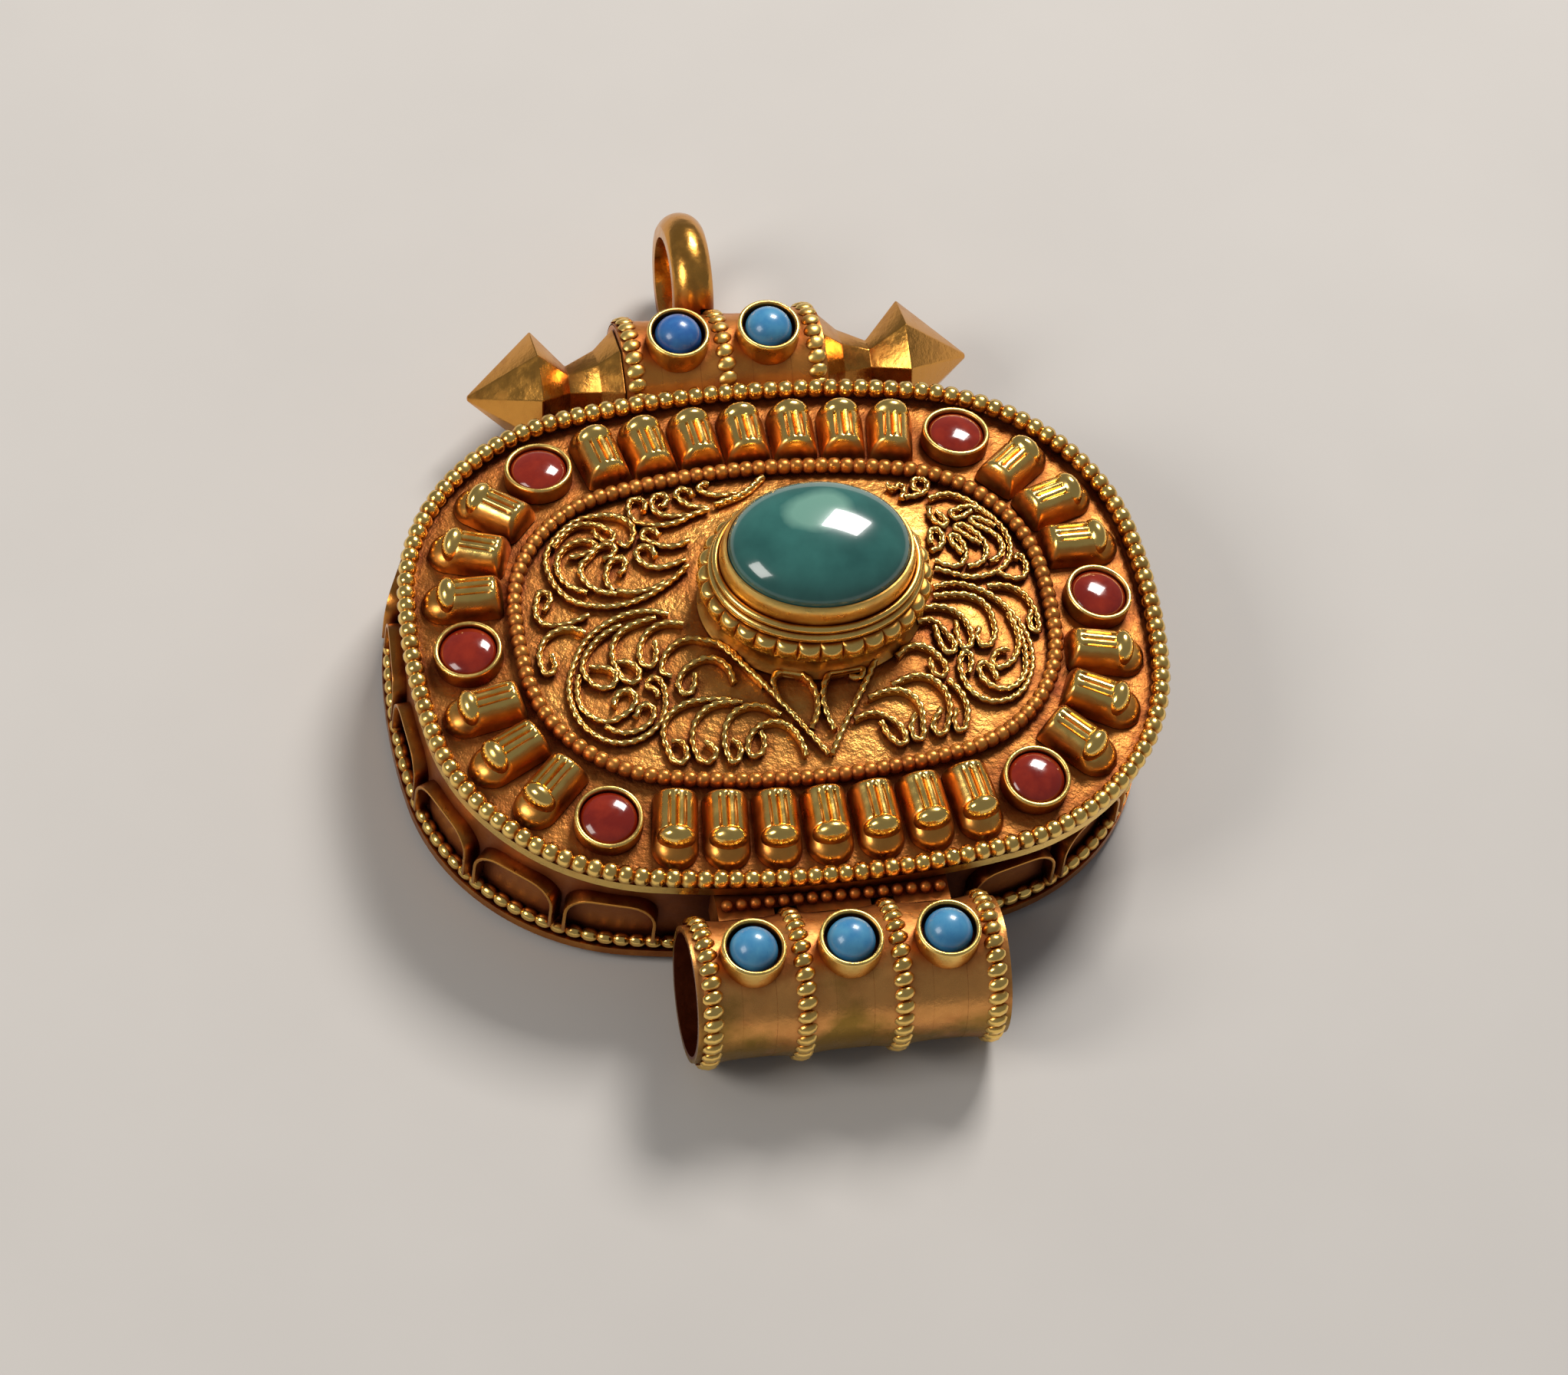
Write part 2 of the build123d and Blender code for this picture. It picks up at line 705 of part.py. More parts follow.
# Coral bezels and stones
with BuildPart() as coral_bezels:
    for run in coral_runs:
        with BuildSketch(border_plane(run)):
            Circle(coral_bezel_radius)
            Circle(coral_bezel_radius - coral_bezel_wall, mode=Mode.SUBTRACT)
        extrude(amount=coral_bezel_height)

with BuildPart() as coral:
    with BuildSketch(Plane.XZ):
        with BuildLine():
            coral_radius = coral_bezel_radius - coral_bezel_wall - stone_clearance
            coral_top = coral_side_height + coral_dome
            Polyline((0, coral_top), (0, 0), (coral_radius, 0), (coral_radius, coral_side_height))
            JernArc((0, coral_top), (1, 0), (coral_radius**2 + coral_dome**2) / (2 * coral_dome),
                    -degrees(2 * atan2(coral_dome, coral_radius)))
        make_face()
    revolve(axis=Axis.Z)

with BuildPart() as coral_stones:
    with Locations(*[border_plane(run) for run in coral_runs]):
        add(coral.part)


def scroll(start, heading, hand, arcs):
    """Tangent arcs that turn one way, each given by its radius and its sweep in degrees."""
    with BuildLine() as line:
        point = Vector(*start)
        for radius, sweep_angle in arcs:
            arc = JernArc(point, Vector(1, 0).rotate(Axis.Z, heading), radius, hand * sweep_angle)
            point = arc @ 1
            heading += hand * sweep_angle
    return line.line


# Filigree of one quarter: a large volute, a row of commas along the edge, a tendril and an end curl
volute = [(9.0, 16), (2.45, 170), (1.95, 180), (1.35, 180), (0.8, 200)]
comma = [(2.6, 55), (0.95, 110), (0.42, 210)]
tendril = [(4.0, 60), (1.2, 120), (0.5, 220)]
end_curl = [(1.6, 70), (0.6, 240)]
comma_starts = [(1.6, 3.45, 62), (3.1, 3.35, 62), (4.6, 3.55, 60)]
quarter_scrolls = [
    scroll((field.half_length - volute_inset, 1.2), -2, 1, volute),
    *[scroll((x, field.half_width - inset), heading, -1, comma) for x, inset, heading in comma_starts],
    scroll((field.half_length - tendril_inset, field.half_width - tendril_drop), 40, 1, tendril),
    scroll((field.half_length - end_curl_inset, 0.5), 20, 1, end_curl),
]
with BuildPart() as filigree_scrolls:
    with BuildSketch(Plane.XY.offset(field_height)) as scroll_plan:
        for line in quarter_scrolls:
            trace(line, line_width=scroll_width)
        mirror(about=Plane.YZ)
        mirror(about=Plane.XZ)
    extrude(amount=field_rise + 2 * scroll_height)
    add(field_mound(scroll_height, inner_bead_radius + solder_gap), mode=Mode.INTERSECT)
    add(field_mound(solder_gap), mode=Mode.SUBTRACT)
    with BuildSketch(Plane((setting_x, setting_y, field_height))):
        add(oval_sketch(platform))
    extrude(amount=field_rise + 2 * scroll_height, mode=Mode.SUBTRACT)

# Setting foot: waisted foot on the platform with the core that carries the collar and the wires
with BuildPart() as setting_foot:
    foot_levels = (
        (platform_height, foot_base_growth),
        (platform_height + foot_height / 2, foot_waist_growth),
        (foot_top, foot_top_growth),
    )
    for height, growth in foot_levels:
        with BuildSketch(Plane.XY.offset(height)):
            add(setting_ellipse(growth))
    loft(ruled=True)
    with BuildSketch(Plane.XY.offset(foot_top)):
        add(setting_ellipse(core_growth))
    extrude(amount=lower_wire_top - foot_top)

# Setting collar: round-edged band with a notch between the lobes
with BuildPart() as setting_collar:
    with BuildSketch(Plane.XY.offset(foot_top)):
        add(setting_ellipse(collar_growth))
        add(setting_ellipse(core_growth + solder_gap), mode=Mode.SUBTRACT)
    extrude(amount=collar_height)
    fillet(setting_collar.edges().sort_by(Edge.length)[-2:], collar_round)
    notch_angles = [360 * (index + 0.5) / collar_notches for index in range(collar_notches)]
    for angle in notch_angles:
        notch_x = setting_x + (setting_half_length + collar_growth) * cos(radians(angle))
        notch_y = setting_y + (setting_half_width + collar_growth) * sin(radians(angle))
        with Locations((notch_x, notch_y, foot_top + collar_height / 2)):
            Cylinder(collar_notch_radius, collar_height, mode=Mode.SUBTRACT)

# Setting wires: two plain rings, one round the core and one round the bezel
with BuildPart() as setting_wires:
    with BuildSketch(Plane.XY.offset(collar_top)):
        add(setting_ellipse(lower_wire_growth))
        add(setting_ellipse(core_growth + solder_gap), mode=Mode.SUBTRACT)
    extrude(amount=lower_wire_height)
    with BuildSketch(Plane.XY.offset(lower_wire_top + solder_gap)):
        add(setting_ellipse(upper_wire_growth))
        add(setting_ellipse(stone_clearance + bezel_wall + solder_gap), mode=Mode.SUBTRACT)
    extrude(amount=upper_wire_height)

# Setting bezel and centre stone
with BuildPart() as setting_bezel:
    with BuildSketch(Plane.XY.offset(lower_wire_top + solder_gap)):
        add(setting_ellipse(stone_clearance + bezel_wall))
        add(setting_ellipse(stone_clearance), mode=Mode.SUBTRACT)
    extrude(amount=bezel_height)

with BuildPart() as stone_cap:
    Sphere(1)
    scale(by=(setting_half_length, setting_half_width, stone_dome))
    split(bisect_by=Plane.XY)

with BuildPart() as centre_stone:
    with BuildSketch(Plane.XY.offset(lower_wire_top + solder_gap)):
        add(setting_ellipse(0))
    extrude(amount=bezel_top - lower_wire_top - solder_gap)
    with Locations((setting_x, setting_y, bezel_top)):
        add(stone_cap.part)

pieces = {
    "back_plate": back_plate,
    "box_wall": box_wall,
    "base_wire": base_wire,
    "arcade_cells": arcade_cells,
    "cord_tube": cord_tube,
    "cord_tube_rings": cord_tube_rings,
    "cord_tube_saddle": cord_tube_saddle,
    "cord_tube_bezels": cord_tube_bezels,
    "cord_tube_stones": cord_tube_stones,
    "granule_row": granule_row,
    "hanger_tube": hanger_tube,
    "hanger_rings": hanger_rings,
    "hanger_end_plates": hanger_end_plates,
    "hanger_saddle": hanger_saddle,
    "hanger_bezels": hanger_bezels,
    "hanger_stones": hanger_stones,
    "bail": bail,
    "lid_shell": lid_shell,
    "lid_flange": lid_flange,
    "lid_edge_strip": lid_edge_strip,
    "outer_bead_wire": outer_bead_wire,
    "inner_bead_wire": inner_bead_wire,
    "border_petals": border_petals,
    "coral_bezels": coral_bezels,
    "coral_stones": coral_stones,
    "filigree_scrolls": filigree_scrolls,
    "setting_foot": setting_foot,
    "setting_collar": setting_collar,
    "setting_wires": setting_wires,
    "setting_bezel": setting_bezel,
    "centre_stone": centre_stone,
    "bar_shaft": bar_shaft,
    "left_finial": left_finial,
    "right_finial": right_finial,
}
for name, piece in pieces.items():
    piece.part.label = name
    export_step(piece.part, f"parts/{name}.step")
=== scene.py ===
import json
import math

import bmesh
import bpy
from mathutils import Matrix, Vector

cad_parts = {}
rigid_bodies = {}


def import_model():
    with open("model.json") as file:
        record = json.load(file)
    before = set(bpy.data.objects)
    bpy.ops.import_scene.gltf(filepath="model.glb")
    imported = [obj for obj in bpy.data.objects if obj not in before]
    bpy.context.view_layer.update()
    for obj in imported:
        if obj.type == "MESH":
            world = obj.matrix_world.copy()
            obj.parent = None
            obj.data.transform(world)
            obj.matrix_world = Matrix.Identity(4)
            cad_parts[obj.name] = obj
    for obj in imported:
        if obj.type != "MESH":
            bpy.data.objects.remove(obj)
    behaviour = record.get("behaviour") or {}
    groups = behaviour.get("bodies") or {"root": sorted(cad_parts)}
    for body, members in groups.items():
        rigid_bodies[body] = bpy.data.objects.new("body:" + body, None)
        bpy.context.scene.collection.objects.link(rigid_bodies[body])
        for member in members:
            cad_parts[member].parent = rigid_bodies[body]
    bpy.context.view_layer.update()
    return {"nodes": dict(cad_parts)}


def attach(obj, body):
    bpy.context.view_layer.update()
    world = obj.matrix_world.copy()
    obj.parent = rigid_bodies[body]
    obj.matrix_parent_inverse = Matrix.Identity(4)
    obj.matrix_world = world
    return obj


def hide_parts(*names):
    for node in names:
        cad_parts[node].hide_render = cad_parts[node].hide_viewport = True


bl_info = {
    "name": "Ghau Amulet Box",
    "version": (1, 0, 0),
    "blender": (4, 5, 0),
    "location": "3D View > Sidebar > Amulet Box",
    "description": "Beaded edges, petals, filigree, stones and gilt finishes of an oval amulet box",
    "category": "Object",
}

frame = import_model()
NODES = frame["nodes"]
MM = 0.001
UP = Vector((0, 0, 1))

# Centre lines of the scroll wires on the field, seen from above, in millimetres
SCROLLS_MM = [
    [(-5.46, 0.57), (-6.17, 0.87), (-7.17, 0.94), (-8.01, 0.72), (-8.94, 0.21), (-9.59, -0.38),
     (-10.10, -1.21), (-10.63, -2.56), (-10.64, -3.80), (-10.37, -4.72), (-9.84, -5.44), (-9.13, -5.91),
     (-8.31, -6.01), (-7.55, -5.78), (-6.92, -5.32), (-6.44, -4.49), (-6.34, -3.93), (-6.43, -3.03),
     (-6.68, -2.78), (-7.00, -2.92), (-7.08, -3.18), (-6.76, -3.44), (-6.70, -3.89)],
    [(-10.11, -2.09), (-10.30, -2.95), (-10.25, -3.84), (-9.84, -4.42), (-9.18, -4.80), (-8.61, -4.65),
     (-7.91, -4.19), (-7.68, -3.69), (-8.00, -3.25), (-8.54, -3.46), (-8.79, -4.01)],
    [(-9.33, -5.01), (-8.75, -5.43), (-8.04, -5.50), (-7.45, -5.26), (-7.05, -4.86), (-7.06, -4.29),
     (-7.44, -4.16), (-7.91, -4.77)],
    [(-7.75, 0.34), (-8.62, -0.05), (-9.36, -0.72), (-9.83, -1.55), (-9.77, -2.22), (-9.30, -2.84),
     (-8.78, -2.95), (-8.42, -2.59), (-8.45, -2.14), (-9.53, -1.67)],
    [(-6.09, 0.47), (-6.99, 0.35), (-7.78, -0.01), (-8.25, -0.62), (-8.40, -1.26), (-8.32, -2.03),
     (-8.01, -2.72), (-7.56, -2.86), (-7.32, -2.49), (-7.42, -2.04), (-7.90, -1.67), (-8.26, -1.68)],
    [(-4.88, -0.07), (-5.69, 0.11), (-6.46, -0.15), (-6.97, -0.76), (-7.16, -1.40), (-7.05, -2.03),
     (-6.70, -2.12), (-6.41, -1.71), (-6.33, -0.83)],
    [(-1.76, -3.91), (-2.47, -2.81), (-3.17, -1.63), (-4.00, -1.18), (-4.86, -0.95), (-5.64, -1.26),
     (-6.17, -1.96), (-6.25, -2.61), (-5.85, -2.83)],
    [(-3.09, -3.62), (-3.35, -2.62), (-3.99, -2.15), (-4.85, -2.32), (-5.51, -2.91), (-5.66, -3.56),
     (-5.36, -3.90), (-4.97, -3.55), (-4.81, -2.90)],
    [(-3.43, -4.47), (-4.92, -4.31), (-5.67, -4.44), (-6.41, -4.93), (-6.76, -5.65), (-6.70, -6.54),
     (-6.38, -7.37), (-5.97, -7.28), (-5.85, -6.85), (-6.01, -6.35), (-6.47, -6.25)],
    [(-2.92, -4.66), (-4.18, -4.61), (-4.99, -5.09), (-5.43, -5.93), (-5.48, -6.81), (-5.13, -7.51),
     (-4.67, -7.34), (-4.50, -7.00), (-4.94, -6.43)],
    [(-1.25, -5.51), (-2.07, -4.98), (-2.97, -4.96), (-3.68, -5.46), (-4.01, -6.31), (-4.02, -7.19),
     (-3.82, -7.66), (-3.44, -7.34), (-3.38, -6.82), (-3.69, -6.52)],
    [(-0.38, -7.69), (-0.57, -6.78), (-1.06, -6.06), (-1.86, -5.84), (-2.66, -6.24), (-3.02, -6.86),
     (-2.97, -7.40), (-2.49, -7.36), (-2.20, -6.73), (-2.30, -6.28)],
    [(0.64, -7.71), (-1.76, -3.91), (-3.49, -1.37)],
    [(0.78, -7.73), (1.86, -5.94), (2.86, -4.42), (3.98, -2.64), (4.86, -1.77), (5.80, -1.21)],
    [(0.04, -6.40), (0.49, -5.48), (0.51, -4.38), (0.01, -3.53), (-0.75, -3.31), (-1.27, -3.61),
     (-1.32, -4.26), (-1.15, -4.95)],
    [(1.10, -6.52), (0.87, -5.61), (0.86, -4.64), (1.36, -3.68), (1.97, -3.30), (2.59, -3.29),
     (2.94, -3.77), (2.64, -4.04), (2.23, -3.91)],
    [(7.05, 0.68), (8.06, 0.88), (9.04, 0.64), (9.85, 0.11), (10.50, -0.72), (10.96, -1.79), (11.10, -3.00),
     (10.74, -4.41), (10.03, -5.31), (9.17, -5.65), (8.46, -5.58), (7.83, -5.06), (7.52, -4.14),
     (7.66, -3.19), (8.03, -2.96), (8.15, -3.46), (7.85, -4.14)],
    [(10.77, -1.85), (10.78, -3.18), (10.46, -4.38), (9.73, -4.97), (9.18, -4.99), (8.63, -4.62),
     (8.38, -4.02), (8.53, -3.59), (8.97, -3.77), (9.19, -4.55)],
    [(6.95, 0.16), (7.95, 0.27), (8.84, 0.13), (9.40, -0.37), (9.60, -1.28), (9.42, -2.28), (8.88, -2.66),
     (8.60, -2.19), (8.84, -1.64)],
    [(10.40, -0.84), (10.64, -1.97), (10.46, -2.92), (9.77, -3.73), (9.15, -3.75), (9.48, -2.95),
     (10.04, -2.88)],
    [(6.30, -0.47), (7.28, -0.45), (7.94, -0.79), (8.35, -1.58), (8.35, -2.38), (7.95, -2.78),
     (7.70, -2.17), (7.78, -1.30)],
    [(5.87, -1.22), (6.61, -1.17), (7.20, -1.90), (7.49, -2.73), (7.11, -2.99), (6.77, -2.29),
     (6.72, -1.53)],
    [(4.63, -3.07), (5.27, -2.57), (5.98, -2.60), (6.61, -3.16), (6.83, -3.98), (6.42, -4.24),
     (6.11, -3.32)],
    [(4.11, -4.56), (4.90, -4.21), (5.70, -4.16), (6.35, -4.59), (6.68, -5.38), (6.46, -6.59),
     (5.99, -7.20), (5.70, -6.81), (6.23, -5.90)],
    [(2.92, -5.09), (3.88, -4.80), (4.76, -4.94), (5.27, -5.57), (5.29, -6.46), (4.94, -7.39),
     (4.66, -6.92), (4.93, -6.07)],
    [(2.09, -6.10), (2.97, -5.85), (3.71, -6.15), (4.31, -6.88), (4.19, -7.53), (3.64, -7.16),
     (3.32, -6.33)],
    [(6.85, -4.42), (7.41, -5.37), (7.39, -6.47), (6.92, -7.08), (6.74, -6.49), (6.94, -5.98)],
    [(-4.12, 3.17), (-4.76, 2.62), (-5.58, 2.09), (-6.53, 1.67), (-7.58, 1.47), (-8.71, 1.64),
     (-9.65, 2.10), (-10.23, 2.87), (-10.51, 3.79), (-10.53, 4.67), (-10.26, 5.35), (-9.66, 6.08),
     (-8.82, 6.70), (-7.91, 6.90), (-7.06, 6.81), (-6.47, 6.43), (-6.21, 5.87), (-6.37, 5.18),
     (-6.83, 4.84), (-7.00, 5.12)],
    [(-10.08, 5.33), (-9.44, 6.06), (-8.79, 6.47), (-8.07, 6.43), (-7.42, 6.01), (-7.14, 5.54),
     (-7.42, 5.21), (-7.81, 5.43), (-8.08, 5.99)],
    [(-8.93, 2.46), (-9.58, 2.89), (-9.98, 3.46), (-10.07, 4.18), (-9.79, 4.95), (-9.12, 5.45),
     (-8.39, 5.45), (-8.09, 5.11), (-8.67, 4.69), (-9.41, 4.64)],
    [(-7.61, 2.14), (-8.42, 2.49), (-8.95, 3.17), (-9.04, 3.89), (-8.57, 4.46), (-7.73, 5.07),
     (-7.31, 4.98), (-7.33, 4.50), (-7.89, 4.20)],
    [(-7.72, 2.33), (-7.95, 2.88), (-7.81, 3.66), (-7.39, 4.15), (-6.96, 4.10), (-6.99, 3.57),
     (-7.34, 3.21)],
    [(-7.58, 2.31), (-6.75, 2.09), (-5.94, 2.13), (-5.31, 2.41)],
    [(-4.16, 3.52), (-4.85, 3.34), (-5.58, 3.33), (-6.16, 3.75), (-6.35, 4.30), (-6.07, 4.62),
     (-5.65, 4.57), (-5.47, 3.93)],
    [(-3.82, 4.63), (-4.36, 4.43), (-4.93, 4.49), (-5.53, 4.83), (-5.89, 5.22), (-5.85, 5.48),
     (-5.39, 5.61), (-5.09, 5.22)],
    [(-2.55, 6.44), (-3.40, 6.18), (-4.19, 5.83), (-5.68, 5.99), (-6.12, 6.39), (-6.22, 7.02),
     (-6.06, 7.54), (-5.67, 7.67), (-5.36, 7.37), (-5.54, 6.77)],
    [(-3.40, 6.18), (-4.32, 6.28), (-4.92, 6.61), (-5.11, 7.17), (-4.78, 7.75), (-4.36, 7.70),
     (-4.36, 7.26), (-4.71, 6.94)],
    [(-2.54, 6.53), (-3.15, 6.73), (-3.65, 7.18), (-3.86, 7.65), (-3.65, 7.98), (-3.23, 7.89),
     (-3.09, 7.47)],
    [(-1.08, 7.34), (-1.75, 7.28), (-2.36, 7.52), (-2.73, 7.87), (-2.52, 8.20), (-2.20, 8.17)],
    [(0.40, 8.32), (-0.73, 7.30), (-2.22, 6.67)],
    [(7.35, 1.75), (7.90, 1.56), (8.58, 1.31), (9.15, 1.25), (9.75, 1.36), (10.29, 1.56), (10.71, 1.87),
     (11.09, 2.36), (11.25, 2.87), (11.29, 3.48), (11.04, 4.31), (10.67, 4.88), (10.18, 5.37), (9.70, 5.52),
     (9.17, 5.40), (8.75, 5.09), (8.92, 4.81), (9.37, 4.93), (9.79, 5.24)],
    [(7.91, 6.07), (8.38, 6.28), (8.98, 6.35), (9.51, 6.11), (9.96, 5.75), (10.38, 5.26), (10.79, 4.73)],
    [(10.78, 4.29), (10.27, 4.66), (9.79, 4.80), (9.67, 4.55), (10.05, 4.24), (10.56, 3.87), (10.84, 3.40),
     (10.81, 2.83), (10.52, 2.42), (10.04, 2.16)],
    [(8.97, 1.88), (9.46, 2.01), (9.93, 2.40), (10.11, 2.95), (9.99, 3.49), (9.64, 4.02), (9.20, 4.38),
     (8.82, 4.29), (9.17, 3.81), (9.54, 3.46), (9.87, 3.24)],
    [(7.44, 2.23), (7.97, 1.95), (8.54, 1.93), (8.90, 2.29), (9.06, 2.76), (8.95, 3.39), (8.66, 3.78),
     (8.40, 3.54), (8.60, 3.07), (8.88, 2.60)],
    [(7.39, 2.81), (7.88, 3.07), (8.10, 3.48), (8.04, 3.98), (7.71, 4.15), (7.49, 3.73), (7.46, 3.20)],
    [(7.81, 5.51), (7.78, 4.98), (7.99, 4.51), (8.32, 4.34), (8.49, 4.63), (8.35, 4.91), (8.12, 5.25)],
    [(6.77, 6.20), (7.69, 6.45), (8.00, 6.77), (8.04, 7.20), (7.72, 7.46), (7.39, 7.23), (7.38, 6.75),
     (7.62, 6.50)],
    [(6.61, 6.13), (6.85, 6.63), (6.78, 7.08), (6.37, 6.82), (6.14, 7.15)],
    [(10.29, 1.56), (10.88, 1.23), (11.46, 1.21), (11.80, 1.66), (11.78, 2.19), (11.56, 2.57),
     (11.33, 2.28)],
    [(-9.37, 0.21), (-10.03, 0.60), (-10.96, 0.44), (-11.56, -0.25), (-11.72, -1.12), (-11.47, -1.76),
     (-11.10, -1.54), (-11.10, -0.74)],
    [(-9.08, 1.20), (-9.71, 0.96), (-10.31, 0.85), (-11.15, 1.03), (-11.48, 1.60), (-11.36, 2.25),
     (-11.03, 2.87), (-10.65, 2.57), (-11.09, 1.73)],
    [(9.66, 0.70), (10.51, 0.74), (11.24, 0.39), (11.64, -0.40), (11.77, -1.30), (11.56, -1.90),
     (11.27, -1.47), (11.51, -0.74)],
]


class Outline:
    """An oval of side, corner and end arcs, walked clockwise from the middle of its +Y side, in mm."""

    def __init__(self, half_length, half_width, side_radius, end_radius, corner_radius, middle_x=0.0):
        side_y = half_width - side_radius
        end_x = half_length - end_radius
        side_reach = side_radius - corner_radius
        end_reach = end_radius - corner_radius
        across = Vector((end_x, -side_y))
        along = (across.length_squared + side_reach**2 - end_reach**2) / (2 * across.length)
        beside = math.sqrt(side_reach**2 - along**2)
        way = across.normalized()
        corner = Vector((0, side_y)) + way * along + Vector((way.y, -way.x)) * beside
        turn_in = math.atan2(corner.x, corner.y - side_y)
        turn_out = math.atan2(corner.x - end_x, corner.y)
        half, full = math.pi, 2 * math.pi
        self.arcs = [
            (middle_x, side_y, side_radius, 0, turn_in),
            (middle_x + corner.x, corner.y, corner_radius, turn_in, turn_out),
            (middle_x + end_x, 0, end_radius, turn_out, half - turn_out),
            (middle_x + corner.x, -corner.y, corner_radius, half - turn_out, half - turn_in),
            (middle_x, -side_y, side_radius, half - turn_in, half + turn_in),
            (middle_x - corner.x, -corner.y, corner_radius, half + turn_in, half + turn_out),
            (middle_x - end_x, 0, end_radius, half + turn_out, full - turn_out),
            (middle_x - corner.x, corner.y, corner_radius, full - turn_out, full - turn_in),
            (middle_x, side_y, side_radius, full - turn_in, full),
        ]
        self.length = sum(radius * (last - first) for _, _, radius, first, last in self.arcs)

    def station(self, run, height):
        """Point, tangent and outward direction at a distance along the oval."""
        run %= self.length
        for x, y, radius, first, last in self.arcs:
            reach = radius * (last - first)
            if run <= reach:
                break
            run -= reach
        bearing = first + run / radius
        outward = Vector((math.sin(bearing), math.cos(bearing), 0))
        tangent = Vector((outward.y, -outward.x, 0))
        return Vector((x, y, height)) + outward * radius, tangent, outward


RIM = Outline(17.4, 13.85, 46.0, 30.0, 10.8)
FIELD = Outline(12.5, 8.85, 33.0, 25.0, 6.9)
FLANGE = Outline(17.22, 13.67, 45.82, 29.82, 10.62, -0.65)
WALL = Outline(16.85, 13.3, 45.45, 29.45, 10.25, -0.65)
BORDER = Outline(14.8, 11.25, 43.4, 27.4, 8.2)
BORDER_HEIGHT = 6.458
BORDER_SLOPE = math.radians(8.94)
CORAL_RUN = 10.1
CORD_AXIS = Vector((-0.2, -17.6, 3.55))
HANGER_AXIS = Vector((0.15, 17.3, 3.27))
SETTING_MIDDLE = Vector((1.27, 0.7, 0))
SETTING_HALF = (4.33, 3.55)

# Places and sizes taken from the solids, in millimetres
RIM_WIRE_HEIGHT = 6.57
FIELD_WIRE_HEIGHT = 7.205
FOOT_WIRE_HEIGHT = 1.33
CORD_TUBE_RADIUS = 3.15
CORD_HALF_LENGTH = 7.25
CORD_RING_RADIUS = 3.55
CORD_RING_WIDTH = 1.05
CORD_RING_PLACES = (-6.775, -2.45, 2.05, 6.375)
CORD_STONE_PLACES = (-4.7, -0.2, 4.3)
CORD_STONE_LEAN = math.radians(5.0)
CORD_CUP_REACH = 0.85
HANGER_TUBE_RADIUS = 2.95
HANGER_HALF_LENGTH = 4.85
HANGER_RING_RADIUS = 3.25
HANGER_RING_WIDTH = 0.96
HANGER_RING_PLACES = (-4.22, 0.15, 4.52)
HANGER_STONE_PLACES = (-2.035, 2.335)
HANGER_CUP_REACH = 0.9
SIDE_PETALS = 7
SIDE_PETAL_PITCH = 2.34
CORNER_PETALS = 3
CORNER_PETAL_PITCH = 2.72
ARCHES_EACH_SIDE = 8
ARCH_PITCH = 4.5
ARCH_SHIFT = 1.1
ARCH_FOOT = 1.68
ARCH_SINK = 0.26
ARCH_DEPTH = 0.86

# Shape of a petal along its length, in metres
PETAL_HEEL = 0.42 * MM
PETAL_NOSE = 1.05 * MM
PETAL_TOE_HEIGHT = 0.8 * MM
FLUTE_PITCH = 0.36 * MM
BALL_PLACE = Vector((0, 0.6 * MM, 0.75 * MM))
BALL_HALF_LENGTH = 0.58 * MM
BALL_HALF_HEIGHT = 0.86 * MM


class EdgeSizes(bpy.types.PropertyGroup):
    """Beaded wires and notched rings."""

    rim_bead: bpy.props.FloatProperty(
        name="Rim bead", description="Radius of the beads round the face",
        default=0.45 * MM, min=0.0, unit="LENGTH", precision=5)
    rim_pitch: bpy.props.FloatProperty(
        name="Rim pitch", description="Distance between rim beads",
        default=0.72 * MM, min=0.0, unit="LENGTH", precision=5)
    field_bead: bpy.props.FloatProperty(
        name="Field bead", description="Radius of the beads round the filigree",
        default=0.38 * MM, min=0.0, unit="LENGTH", precision=5)
    field_pitch: bpy.props.FloatProperty(
        name="Field pitch", description="Distance between field beads",
        default=0.6 * MM, min=0.0, unit="LENGTH", precision=5)
    foot_bead: bpy.props.FloatProperty(
        name="Foot bead", description="Radius of the beads at the foot of the wall",
        default=0.33 * MM, min=0.0, unit="LENGTH", precision=5)
    foot_pitch: bpy.props.FloatProperty(
        name="Foot pitch", description="Distance between foot beads",
        default=0.74 * MM, min=0.0, unit="LENGTH", precision=5)
    ring_notches: bpy.props.IntProperty(
        name="Ring notches", description="Notches round each ring of the cord tube", default=31, min=6)


class PetalSizes(bpy.types.PropertyGroup):
    """The pressed petals of the border."""

    length: bpy.props.FloatProperty(
        name="Length", description="Length across the border", default=3.8 * MM, min=0.0,
        unit="LENGTH", precision=5)
    width: bpy.props.FloatProperty(
        name="Width", description="Width along the border", default=2.22 * MM, min=0.0,
        unit="LENGTH", precision=5)
    height: bpy.props.FloatProperty(
        name="Height", description="Height of the fluted bar", default=1.38 * MM, min=0.0,
        unit="LENGTH", precision=5)
    ball: bpy.props.FloatProperty(
        name="Ball", description="Half width of the ball", default=0.9 * MM, min=0.0,
        unit="LENGTH", precision=5)
    flute_depth: bpy.props.FloatProperty(
        name="Flute depth", description="Depth of the flutes", default=0.17 * MM, min=0.0,
        unit="LENGTH", precision=5)


